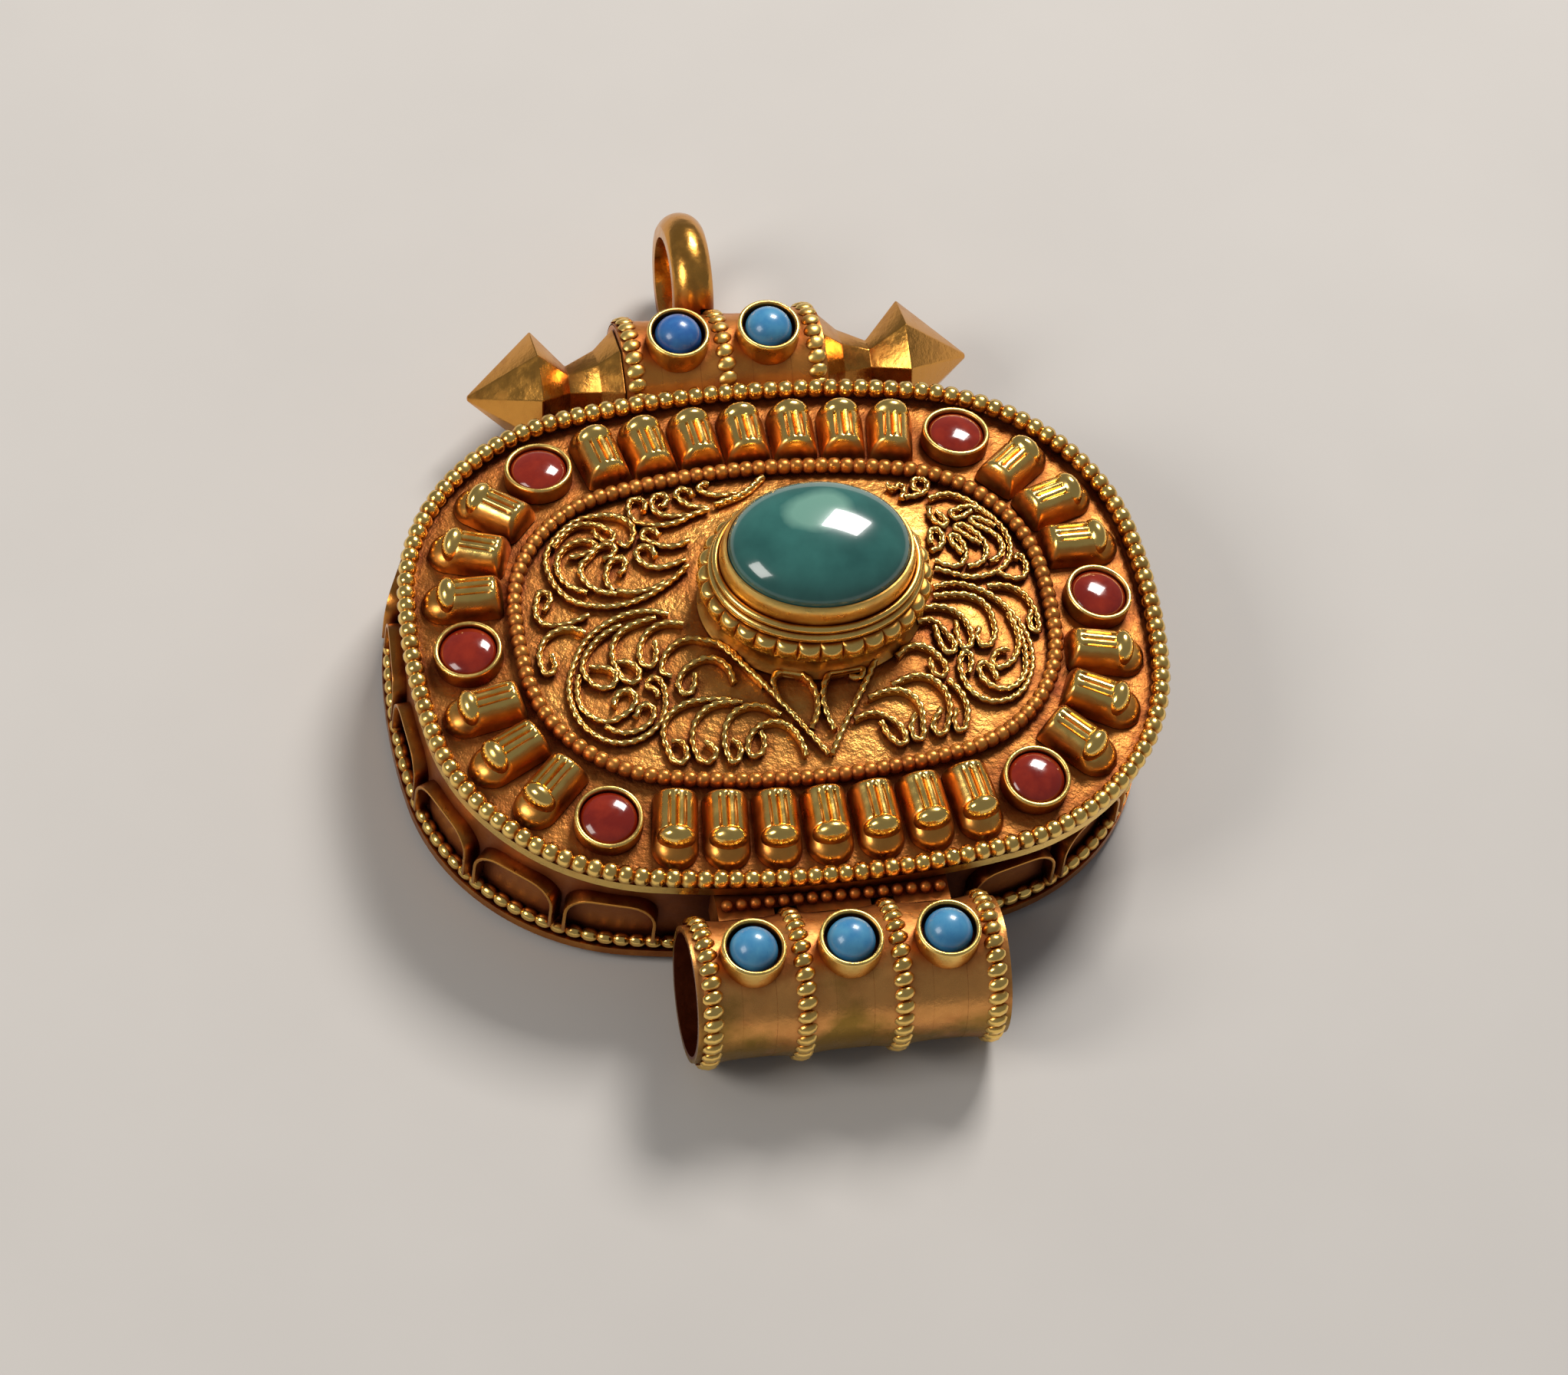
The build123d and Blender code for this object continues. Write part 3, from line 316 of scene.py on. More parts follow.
class FiligreeSizes(bpy.types.PropertyGroup):
    """The twisted wires of the filigree."""

    wire: bpy.props.FloatProperty(
        name="Wire", description="Width of the twisted wire", default=0.34 * MM, min=0.0,
        unit="LENGTH", precision=5)
    flat: bpy.props.FloatProperty(
        name="Flat", description="Thickness of the twisted wire", default=0.25 * MM, min=0.0,
        unit="LENGTH", precision=5)
    turn: bpy.props.FloatProperty(
        name="Turn", description="Length of one half turn of the twist", default=0.46 * MM, min=0.0,
        unit="LENGTH", precision=5)
    stand: bpy.props.FloatProperty(
        name="Stand", description="Height of the wire's middle over the ground", default=0.3 * MM,
        min=0.0, unit="LENGTH", precision=5)


class FinishColours(bpy.types.PropertyGroup):
    """Colours of the metal and the stones."""

    gilt: bpy.props.FloatVectorProperty(
        name="Gilt", description="Open faces of the gilt metal", subtype="COLOR", size=3, min=0.0, max=1.0,
        default=(0.62, 0.25, 0.042))
    # Crest colour, used where the occlusion or the painted rub value is high: painted highlight, partly
    # burnish.
    burnish_and_highlight: bpy.props.FloatVectorProperty(
        name="Burnish", description="Rubbed crests of the gilt metal", subtype="COLOR", size=3, min=0.0,
        max=1.0, default=(0.98, 0.66, 0.19))
    # Hollow colour, used where the occlusion or the painted rub value is low: painted shade, partly red
    # gilding.
    hollow: bpy.props.FloatVectorProperty(
        name="Hollow", description="Red-brown gilding in the hollows", subtype="COLOR", size=3, min=0.0,
        max=1.0, default=(0.20, 0.04, 0.008))
    coral: bpy.props.FloatVectorProperty(
        name="Coral", description="Red stones of the border", subtype="COLOR", size=3, min=0.0, max=1.0,
        default=(0.19, 0.009, 0.003))
    blue: bpy.props.FloatVectorProperty(
        name="Blue", description="Round stones on the tubes", subtype="COLOR", size=3, min=0.0, max=1.0,
        default=(0.045, 0.235, 0.48))
    green: bpy.props.FloatVectorProperty(
        name="Green", description="Body of the centre stone", subtype="COLOR", size=3, min=0.0, max=1.0,
        default=(0.015, 0.095, 0.085))


class StageSettings(bpy.types.PropertyGroup):
    """Floor, lamps and camera."""

    floor: bpy.props.FloatVectorProperty(
        name="Floor", description="Colour of the floor", subtype="COLOR", size=3, min=0.0, max=1.0,
        default=(0.60, 0.57, 0.54))
    key_power: bpy.props.FloatProperty(
        name="Key", description="Power of the key lamp", default=1.45, min=0.0, unit="POWER")
    fill_power: bpy.props.FloatProperty(
        name="Fill", description="Power of the fill lamp", default=0.45, min=0.0, unit="POWER")
    azimuth: bpy.props.FloatProperty(
        name="Azimuth", description="Turn of the camera about the box", default=math.radians(-17.58),
        subtype="ANGLE")
    elevation: bpy.props.FloatProperty(
        name="Elevation", description="Height of the camera over the floor", default=math.radians(54.0),
        subtype="ANGLE")
    roll: bpy.props.FloatProperty(
        name="Roll", description="Tilt of the camera", default=math.radians(9.07), subtype="ANGLE")
    distance: bpy.props.FloatProperty(
        name="Distance", description="Camera to the middle of the box", default=426.5 * MM, min=0.0,
        unit="LENGTH")


def shaded(name, tint):
    """A new material with its shader and Object coordinates ready."""
    material = bpy.data.materials.new(name)
    material.use_nodes = True
    material.diffuse_color = (*tint, 1.0)
    tree = material.node_tree
    shader = tree.nodes["Principled BSDF"]
    place = tree.nodes.new("ShaderNodeTexCoord").outputs["Object"]
    return material, tree, shader, place


def noise(tree, place, scale, detail=3.0, roughness=0.55):
    """Noise over the piece, with its scale in turns per metre."""
    node = tree.nodes.new("ShaderNodeTexNoise")
    node.inputs["Scale"].default_value = scale
    node.inputs["Detail"].default_value = detail
    node.inputs["Roughness"].default_value = roughness
    tree.links.new(place, node.inputs["Vector"])
    return node.outputs["Fac"]


def ranged(tree, value, low, high, to_low, to_high):
    """A value moved from one range to another."""
    node = tree.nodes.new("ShaderNodeMapRange")
    node.inputs["From Min"].default_value = low
    node.inputs["From Max"].default_value = high
    node.inputs["To Min"].default_value = to_low
    node.inputs["To Max"].default_value = to_high
    tree.links.new(value, node.inputs["Value"])
    return node.outputs["Result"]


def blended(tree, amount, first, second):
    """Two colours, fixed or linked, mixed by an amount."""
    node = tree.nodes.new("ShaderNodeMix")
    node.data_type = "RGBA"
    tree.links.new(amount, node.inputs["Factor"])
    for socket, colour in ((node.inputs["A"], first), (node.inputs["B"], second)):
        if isinstance(colour, bpy.types.NodeSocket):
            tree.links.new(colour, socket)
        else:
            socket.default_value = (*colour, 1.0)
    return node.outputs["Result"]


def pitted(tree, shader, height, strength, depth):
    """Fine relief on a shader."""
    node = tree.nodes.new("ShaderNodeBump")
    node.inputs["Strength"].default_value = strength
    node.inputs["Distance"].default_value = depth
    tree.links.new(height, node.inputs["Height"])
    tree.links.new(node.outputs["Normal"], shader.inputs["Normal"])


def summed(tree, first, second):
    """Two values added."""
    node = tree.nodes.new("ShaderNodeMath")
    node.operation = "ADD"
    tree.links.new(first, node.inputs[0])
    tree.links.new(second, node.inputs[1])
    return node.outputs["Value"]


def occlusion_shade(tree, reach):
    """Ambient occlusion, from 0 in a hollow to 1 on a crest, used to paint shade into the hollows."""
    node = tree.nodes.new("ShaderNodeAmbientOcclusion")
    node.samples = 8
    node.inputs["Distance"].default_value = reach
    return node.outputs["AO"]


def rub_and_shade_attribute(tree):
    """Painted rub-and-shade value stored on the piece itself: partly burnish, partly painted shade and
    painted highlight.
    """
    node = tree.nodes.new("ShaderNodeAttribute")
    node.attribute_name = "rub_and_shade"
    return node.outputs["Fac"]


def tube_reflection_and_shade(tree, place, colour):
    """The cord tube's colours: dull yellow patches, more of them low on the sheet, as painted reflection,
    and dark red on the inner wall of the tube as painted shade.
    """
    low = tree.nodes.new("ShaderNodeSeparateXYZ")
    tree.links.new(place, low.inputs["Vector"])
    # More yellow patches low on the sheet: painted reflection.
    band = ranged(tree, low.outputs["Z"], 3.2 * MM, 5.6 * MM, 0.16, -0.12)
    reflection_patches = ranged(tree, summed(tree, noise(tree, place, 330.0, 4.0), band), 0.44, 0.66, 0.0, 0.85)
    colour = blended(tree, reflection_patches, colour, (0.24, 0.15, 0.018))
    across = tree.nodes.new("ShaderNodeMapping")
    across.inputs["Location"].default_value = (0, -CORD_AXIS.y * MM, -CORD_AXIS.z * MM)
    across.inputs["Scale"].default_value = (0, 1, 1)
    tree.links.new(place, across.inputs["Vector"])
    away = tree.nodes.new("ShaderNodeVectorMath")
    away.operation = "LENGTH"
    tree.links.new(across.outputs["Vector"], away.inputs[0])
    # Dark red on the inner wall of the tube: painted shade.
    inner_shade = ranged(tree, away.outputs["Value"], 2.9 * MM, 3.05 * MM, 0.9, 0.0)
    return blended(tree, inner_shade, colour, (0.17, 0.02, 0.005))


def gilt_with_painted_shade(name, tones, roughness, grain, reach=None, metal=1.0, extra_light_and_shade=None, pits=3200.0):
    """Gilt metal: red-brown hollows (painted shade, partly red gilding), mottled faces and polished bright
    crests (painted highlight, partly burnish), by ambient occlusion or by a painted attribute.
    """
    hollow, face, crest = tones
    material, tree, shader, place = shaded(name, face)
    # The colour follows ambient occlusion or the painted rub value: painted shade in the hollows, painted
    # highlight on the crests.
    shade_and_rub_source = occlusion_shade(tree, reach) if reach else rub_and_shade_attribute(tree)
    mottle = ranged(tree, noise(tree, place, 620.0), 0.3, 0.7, -0.14, 0.14)
    openness_shade_and_wear = summed(tree, shade_and_rub_source, mottle)
    ramp = tree.nodes.new("ShaderNodeValToRGB")
    ramp.color_ramp.interpolation = "EASE"
    ramp.color_ramp.elements.new(0.66)
    stops = ((0.28, hollow), (0.66, face), (0.98, crest))
    for stop, (where, colour) in zip(ramp.color_ramp.elements, stops):
        stop.position = where
        stop.color = (*colour, 1.0)
    tree.links.new(openness_shade_and_wear, ramp.inputs["Fac"])
    colour = ramp.outputs["Color"]
    if extra_light_and_shade:
        colour = extra_light_and_shade(tree, place, colour)
    tree.links.new(colour, shader.inputs["Base Color"])
    shader.inputs["Metallic"].default_value = metal
    polish = ranged(tree, openness_shade_and_wear, 0.5, 1.0, roughness + 0.15, roughness - 0.03)
    speckle = ranged(tree, noise(tree, place, 1500.0, 2.0), 0.3, 0.7, -0.07, 0.09)
    tree.links.new(summed(tree, polish, speckle), shader.inputs["Roughness"])
    pitted(tree, shader, noise(tree, place, pits, 3.0, 0.6), grain, 192.0 * MM / pits)
    return material


def stone_finish(name, body, vein, scale, roughness):
    """Polished opaque stone with soft clouds of a second colour."""
    material, tree, shader, place = shaded(name, body)
    clouds = ranged(tree, noise(tree, place, scale, 4.0), 0.38, 0.68, 0.0, 1.0)
    tree.links.new(blended(tree, clouds, body, vein), shader.inputs["Base Color"])
    rough = ranged(tree, noise(tree, place, 2400.0, 2.0), 0.3, 0.7, roughness - 0.04, roughness + 0.06)
    tree.links.new(rough, shader.inputs["Roughness"])
    shader.inputs["Coat Weight"].default_value = 0.35
    shader.inputs["Coat Roughness"].default_value = 0.06
    pitted(tree, shader, noise(tree, place, 1300.0, 2.0), 0.12, 0.05 * MM)
    return material


def centre_stone_finish(name, body):
    """Dark green stone with a pale patch near its crown, a painted reflection."""
    material, tree, shader, place = shaded(name, body)
    warp = tree.nodes.new("ShaderNodeTexNoise")
    warp.inputs["Scale"].default_value = 420.0
    warp.inputs["Detail"].default_value = 3.0
    tree.links.new(place, warp.inputs["Vector"])
    shift = tree.nodes.new("ShaderNodeVectorMath")
    shift.operation = "MULTIPLY_ADD"
    shift.inputs[1].default_value = (0.0011, 0.0011, 0.0)
    tree.links.new(warp.outputs["Color"], shift.inputs[0])
    tree.links.new(place, shift.inputs[2])
    # Pale green patch near the crown: painted reflection.
    reflection_spot = tree.nodes.new("ShaderNodeMapping")
    reflection_spot.vector_type = "TEXTURE"
    reflection_spot.inputs["Location"].default_value = (1.85 * MM, 2.15 * MM, 13.0 * MM)
    reflection_spot.inputs["Scale"].default_value = (1.55 * MM, 1.25 * MM, 2.4 * MM)
    tree.links.new(shift.outputs["Vector"], reflection_spot.inputs["Vector"])
    away = tree.nodes.new("ShaderNodeVectorMath")
    away.operation = "LENGTH"
    tree.links.new(reflection_spot.outputs["Vector"], away.inputs[0])
    reflection_patch = ranged(tree, away.outputs["Value"], 0.75, 1.15, 0.85, 0.0)
    drift = ranged(tree, noise(tree, place, 260.0, 4.0), 0.4, 0.66, 0.0, 1.0)
    ground = blended(tree, drift, body, (0.032, 0.155, 0.135))
    tree.links.new(blended(tree, reflection_patch, ground, (0.19, 0.39, 0.31)), shader.inputs["Base Color"])
    shader.inputs["Roughness"].default_value = 0.16
    shader.inputs["Coat Weight"].default_value = 0.8
    shader.inputs["Coat Roughness"].default_value = 0.03
    pitted(tree, shader, noise(tree, place, 500.0, 2.0), 0.1, 0.08 * MM)
    return material


def finish(name):
    """A finish by name, made once from the colours."""
    if name in bpy.data.materials:
        return bpy.data.materials[name]
    tint = bpy.context.scene.amulet_colours
    # Each triple is hollow, face and crest colour: the hollow colour is painted shade and the crest colour
    # painted highlight, each partly real wear of the gilding.
    tones = (tint.hollow, tint.gilt, tint.burnish_and_highlight)
    pressed = ((0.27, 0.065, 0.015), (0.72, 0.31, 0.065), tint.burnish_and_highlight)
    ground = ((0.14, 0.028, 0.006), (0.39, 0.135, 0.025), (0.64, 0.30, 0.068))
    sheet = ((0.14, 0.022, 0.005), (0.43, 0.15, 0.028), (0.70, 0.33, 0.065))
    brown = ((0.15, 0.024, 0.006), (0.50, 0.17, 0.04), (0.78, 0.36, 0.10))
    # dusk: darkened tones for the box wall: painted shade.
    dusk = ((0.11, 0.02, 0.004), (0.24, 0.06, 0.011), (0.36, 0.115, 0.02))
    # ember: red-orange gilt; on the granule row and the saddles its lighter red-orange stands partly for
    # light bounced between the gilt parts: painted reflected light.
    ember = ((0.19, 0.032, 0.006), (0.45, 0.135, 0.024), (0.68, 0.27, 0.05))
    makers = {
        "gilt_satin": lambda: gilt_with_painted_shade(name, tones, 0.32, 0.3, 1.2 * MM),
        "gilt_rubbed": lambda: gilt_with_painted_shade(name, tones, 0.22, 0.16, 0.5 * MM),
        "gilt_granular": lambda: gilt_with_painted_shade(name, ground, 0.35, 1.0, 2.2 * MM, 0.85, pits=2500.0),
        "gilt_pressed": lambda: gilt_with_painted_shade(name, pressed, 0.21, 0.14),
        "gilt_wire": lambda: gilt_with_painted_shade(name, tones, 0.24, 0.1, 0.22 * MM),
        "gilt_facet": lambda: gilt_with_painted_shade(name, sheet, 0.24, 0.25, 2.5 * MM),
        "gilt_tube": lambda: gilt_with_painted_shade(name, brown, 0.3, 0.3, 5.0 * MM, 0.85, tube_reflection_and_shade),
        "gilt_ember": lambda: gilt_with_painted_shade(name, ember, 0.32, 0.3, 1.6 * MM, 0.75),
        "gilt_shadowed": lambda: gilt_with_painted_shade(name, dusk, 0.38, 0.4, 2.0 * MM, 0.55),
        "coral_red": lambda: stone_finish(name, tint.coral, (0.30, 0.022, 0.006), 900.0, 0.12),
        "sky_blue": lambda: stone_finish(name, tint.blue, (0.09, 0.34, 0.56), 1100.0, 0.3),
        "deep_blue": lambda: stone_finish(name, (0.018, 0.10, 0.36), (0.04, 0.19, 0.48), 1100.0, 0.3),
        "sea_green": lambda: centre_stone_finish(name, tint.green),
    }
    return makers[name]()


def finished_piece(name, shape, material, body, stands_for=(), sharp=40.0):
    """A bmesh turned into a smooth piece that rides on a body and stands for CAD nodes."""
    mesh = bpy.data.meshes.new(name)
    shape.to_mesh(mesh)
    shape.free()
    if not mesh.polygons:
        raise RuntimeError(name + " has no faces")
    mesh.shade_smooth()
    mesh.set_sharp_from_angle(angle=math.radians(sharp))
    mesh.materials.append(finish(material))
    made = bpy.data.objects.new(name, mesh)
    bpy.context.scene.collection.objects.link(made)
    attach(made, body)
    if stands_for:
        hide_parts(*stands_for)
    return made


def placed(origin, across, along, normal):
    """Matrix from local axes, with the origin in millimetres and the mesh in metres."""
    turn = Matrix((across, along, normal)).transposed().to_4x4()
    return Matrix.Translation(origin * MM) @ turn


def add_bead(shape, origin, axis, side, normal, half_axis, half_side, half_normal, around=8, rows=6):
    """One flattened ball whose poles lie along its axis."""
    size = Matrix.Diagonal((half_side, half_normal, half_axis, 1.0))
    bmesh.ops.create_uvsphere(
        shape, u_segments=around, v_segments=rows, radius=1.0,
        matrix=placed(origin, side, normal, axis) @ size)


def curve_shape(curve, *helpers):
    """The mesh of a bevelled curve as a shape."""
    holder = bpy.data.objects.new(curve.name, curve)
    links = bpy.context.scene.collection.objects
    for item in (holder, *helpers):
        links.link(item)
    mesh = bpy.data.meshes.new_from_object(holder.evaluated_get(bpy.context.evaluated_depsgraph_get()))
    for item in (holder, *helpers):
        bpy.data.objects.remove(item)
    shape = bmesh.new()
    shape.from_mesh(mesh)
    bpy.data.meshes.remove(mesh)
    bmesh.ops.remove_doubles(shape, verts=shape.verts, dist=0.001 * MM)
    bmesh.ops.recalc_face_normals(shape, faces=shape.faces)
    return shape


def notched_wire(outline, height, radius, pitch, depth):
    """A closed wire along an oval, drawn in at even notches."""
    steps = 8
    count = steps * round(outline.length * MM / pitch)
    curve = bpy.data.curves.new("notched_wire", "CURVE")
    curve.dimensions = "3D"
    curve.twist_mode = "Z_UP"
    curve.bevel_depth = radius
    curve.bevel_resolution = 2
    spline = curve.splines.new("POLY")
    spline.points.add(count - 1)
    spline.use_cyclic_u = True
    for index, point in enumerate(spline.points):
        place, _, _ = outline.station(index * outline.length / count, height)
        point.co = (*(place * MM), 1)
        point.radius = 1 - depth * (1 - math.sin(math.pi * (index % steps) / steps)) ** 1.6
    return curve_shape(curve)


def spun(profile, steps, closed=True):
    """A profile of radius and height in millimetres, spun full round into a shape of its own."""
    shape = bmesh.new()
    corners = [shape.verts.new((radius * MM, 0, height * MM)) for radius, height in profile]
    pairs = list(zip(corners, corners[1:]))
    if closed:
        pairs.append((corners[-1], corners[0]))
    lines = [shape.edges.new(pair) for pair in pairs]
    bmesh.ops.spin(
        shape, geom=corners + lines, cent=(0, 0, 0), axis=(0, 0, 1), angle=math.tau,
        steps=steps, use_merge=True)
    bmesh.ops.remove_doubles(shape, verts=shape.verts, dist=0.002 * MM)
    bmesh.ops.recalc_face_normals(shape, faces=shape.faces)
    return shape


def joined(shape, part, where=Matrix()):
    """A part moved to its place and taken into a larger shape."""
    bmesh.ops.transform(part, matrix=where, verts=part.verts)
    carrier = bpy.data.meshes.new("carrier")
    part.to_mesh(carrier)
    part.free()
    shape.from_mesh(carrier)
    bpy.data.meshes.remove(carrier)


def cup_profile(radius, wall, floor, height):
    """Thin bezel wall with a rounded lip."""
    inner = radius - wall
    lip = wall / 2
    middle = radius - lip
    crown = [
        (middle + lip * math.cos(turn), height - lip + lip * math.sin(turn))
        for turn in [math.pi * step / 6 for step in range(7)]
    ]
    return [(radius, floor)] + crown + [(inner, floor)]


def dome_profile(radius, floor, side, crown, steps=10):
    """Low cabochon: straight side and rounded crown."""
    curve = [
        (radius * math.sin(turn), side + (crown - side) * math.cos(turn))
        for turn in [math.pi / 2 * step / steps for step in range(steps + 1)]
    ]
    return curve + [(radius, floor), (0, floor)]


def border_seat(run):
    """Matrix on the sloping border: X along it, Y outwards."""
    point, tangent, outward = BORDER.station(run, BORDER_HEIGHT)
    normal = outward * math.sin(BORDER_SLOPE) + UP * math.cos(BORDER_SLOPE)
    return placed(point, tangent, normal.cross(tangent), normal)


def even_row(count, pitch, middle):
    """Evenly spaced runs about a middle."""
    return [middle + (index - (count - 1) / 2) * pitch for index in range(count)]


def softened_copy(node, width, corner=30.0):
    """A CAD node's own shape with its edges rounded."""
    shape = bmesh.new()
    shape.from_mesh(NODES[node].data)
    bmesh.ops.remove_doubles(shape, verts=shape.verts, dist=0.001 * MM)
    bmesh.ops.dissolve_limit(
        shape, angle_limit=math.radians(0.6), verts=shape.verts, edges=shape.edges)
    edges = [
        edge for edge in shape.edges
        if len(edge.link_faces) == 2 and edge.calc_face_angle() > math.radians(corner)
    ]
    bmesh.ops.bevel(
        shape, geom=edges, offset=width, offset_type="OFFSET", affect="EDGES", segments=2,
        profile=0.5, material=-1, clamp_overlap=True)
    return shape


def eased(value, start, end):
    """A smooth step from 0 to 1 between two places."""
    share = min(1.0, max(0.0, (value - start) / (end - start)))
    return share * share * (3 - 2 * share)


def quarter_round(share):
    """Height of a quarter circle from 0 at its foot to 1 at its top."""
    return math.sqrt(1 - (1 - min(1.0, max(0.0, share))) ** 2)


def petal_relief(sizes, side, across, along):
    """Height and painted rub-and-shade value of a petal: side is the share of the half width, the rest in
    metres.
    """
    half_length = sizes.length / 2
    vault = math.sqrt(1 - side**2.5)
    heel = quarter_round((along + half_length) / PETAL_HEEL)
    nose = quarter_round((half_length - along) / PETAL_NOSE)
    crest = sizes.height + (PETAL_TOE_HEIGHT - sizes.height) * eased(along, 0.25 * MM, 0.9 * MM)
    rise = crest * vault * heel * nose
    fluted = eased(along, PETAL_HEEL - half_length, 0.6 * MM - half_length)
    fluted *= 1 - eased(along, 0.3 * MM, 0.4 * MM)
    fluted *= 1 - eased(abs(across), 0.54 * MM, 0.64 * MM)
    groove = max(0.0, math.cos(math.tau * across / FLUTE_PITCH)) ** 1.5 * fluted
    # Lighter on the top of the vault, darker toward the toe and in the flutes: painted highlight and painted
    # shade, partly burnish.
    rub_and_shade = 0.55 + 0.45 * eased(vault * heel, 0.7, 0.95) * (1 - 0.7 * eased(along, 0.9 * MM, 1.2 * MM))
    return rise - sizes.flute_depth * groove, rub_and_shade - 0.42 * groove


def add_petal(shape, rub_and_shade_layer, sizes, where):
    """One pressed petal: a grid raised to its relief and closed below, with a ball across it."""
    grid = bmesh.ops.create_grid(shape, x_segments=44, y_segments=38, size=1.0)["verts"]
    half_width = sizes.width / 2
    half_length = sizes.length / 2
    toe = half_length - half_width
    for corner in grid:
        side = 0.7 * corner.co.x + 0.3 * math.sin(math.pi / 2 * corner.co.x)
        along = corner.co.y * half_length
        reach = half_width * (0.97 + 0.03 * corner.co.y)
        if along > toe:
            reach *= max(0.3, math.sqrt(max(0.0, 1 - ((along - toe) / half_width) ** 2)))
        reach -= 0.25 * MM * (1 - quarter_round((along + half_length) / (0.25 * MM)))
        across = side * reach
        height, rub_and_shade = petal_relief(sizes, min(1.0, abs(side)), across, along)
        corner.co = (across, along, height)
        corner[rub_and_shade_layer] = rub_and_shade
    edges = {edge for corner in grid for edge in corner.link_edges if edge.is_boundary}
    bmesh.ops.holes_fill(shape, edges=list(edges), sides=0)
    size = Matrix.Diagonal((sizes.ball, BALL_HALF_LENGTH, BALL_HALF_HEIGHT, 1.0))
    ball = bmesh.ops.create_uvsphere(
        shape, u_segments=20, v_segments=14, radius=1.0,
        matrix=Matrix.Translation(BALL_PLACE) @ size)["verts"]
    for corner in ball:
        corner.co.z = max(corner.co.z, 0.02 * MM)
        # The ball is painted darker low down and lighter toward its top: painted shade and painted
        # highlight, partly burnish.
        corner[rub_and_shade_layer] = 0.52 + 0.5 * eased(corner.co.z, 0.85 * MM, 1.25 * MM)
    bmesh.ops.transform(shape, matrix=where, verts=grid + ball)


def setting_ring(shape, profile, steps, notches=0, depth=0.0):
    """A profile of growth and height, spun and laid round the centre stone's ellipse, notched if asked."""
    spare = 4.0
    ring = spun([(spare + growth, height) for growth, height in profile], steps)
    half_x, half_y = SETTING_HALF
    top = max(height for _, height in profile) * MM
    low = min(height for _, height in profile) * MM
    for corner in ring.verts:
        turn = math.atan2(corner.co.y, corner.co.x)
        growth = math.hypot(corner.co.x, corner.co.y) / MM - spare
        if notches:
            lobe = abs(math.sin(notches * turn / 2)) ** 0.55
            share = (corner.co.z - low) / (top - low)
            growth -= depth * (1 - lobe) * min(1.0, share * 1.8)
        outward = Vector((math.cos(turn) / half_x, math.sin(turn) / half_y, 0)).normalized()
        seat = Vector((half_x * math.cos(turn), half_y * math.sin(turn), 0)) + outward * growth
        corner.co = (seat + SETTING_MIDDLE) * MM + UP * corner.co.z
    joined(shape, ring)


def smooth_lines(paths, heights):
    """Points along smooth curves through each path, laid on the ground, in metres."""
    curve = bpy.data.curves.new("scroll_lines", "CURVE")
    curve.dimensions = "3D"
    curve.resolution_u = 8
    for path in paths:
        spline = curve.splines.new("BEZIER")
        spline.bezier_points.add(len(path) - 1)
        for knot, (x, y) in zip(spline.bezier_points, path):
            knot.co = (x * MM, y * MM, 0)
            knot.handle_left_type = knot.handle_right_type = "AUTO"
    holder = bpy.data.objects.new("scroll_lines", curve)
    bpy.context.scene.collection.objects.link(holder)
    lines = bpy.data.meshes.new_from_object(holder.evaluated_get(bpy.context.evaluated_depsgraph_get()))
    bpy.data.objects.remove(holder)
    runs, last = [], None
    for edge in lines.edges:
        first, second = edge.vertices
        if first != last:
            runs.append([lines.vertices[first].co.copy()])
        runs[-1].append(lines.vertices[second].co.copy())
        last = second
    bpy.data.meshes.remove(lines)
    return [[Vector((p.x, p.y, heights(p.x, p.y))) for p in run] for run in runs]


def even_points(run, step):
    """A run divided into steps of nearly one length."""
    reach = [0.0]
    for first, second in zip(run, run[1:]):
        reach.append(reach[-1] + (second - first).length)
    count = max(2, round(reach[-1] / step))
    points, index = [], 0
    for number in range(count + 1):
        goal = reach[-1] * number / count
        while index < len(run) - 2 and reach[index + 1] < goal:
            index += 1
        share = (goal - reach[index]) / max(reach[index + 1] - reach[index], 1e-9)
        points.append(run[index].lerp(run[index + 1], min(1.0, share)))
    return points


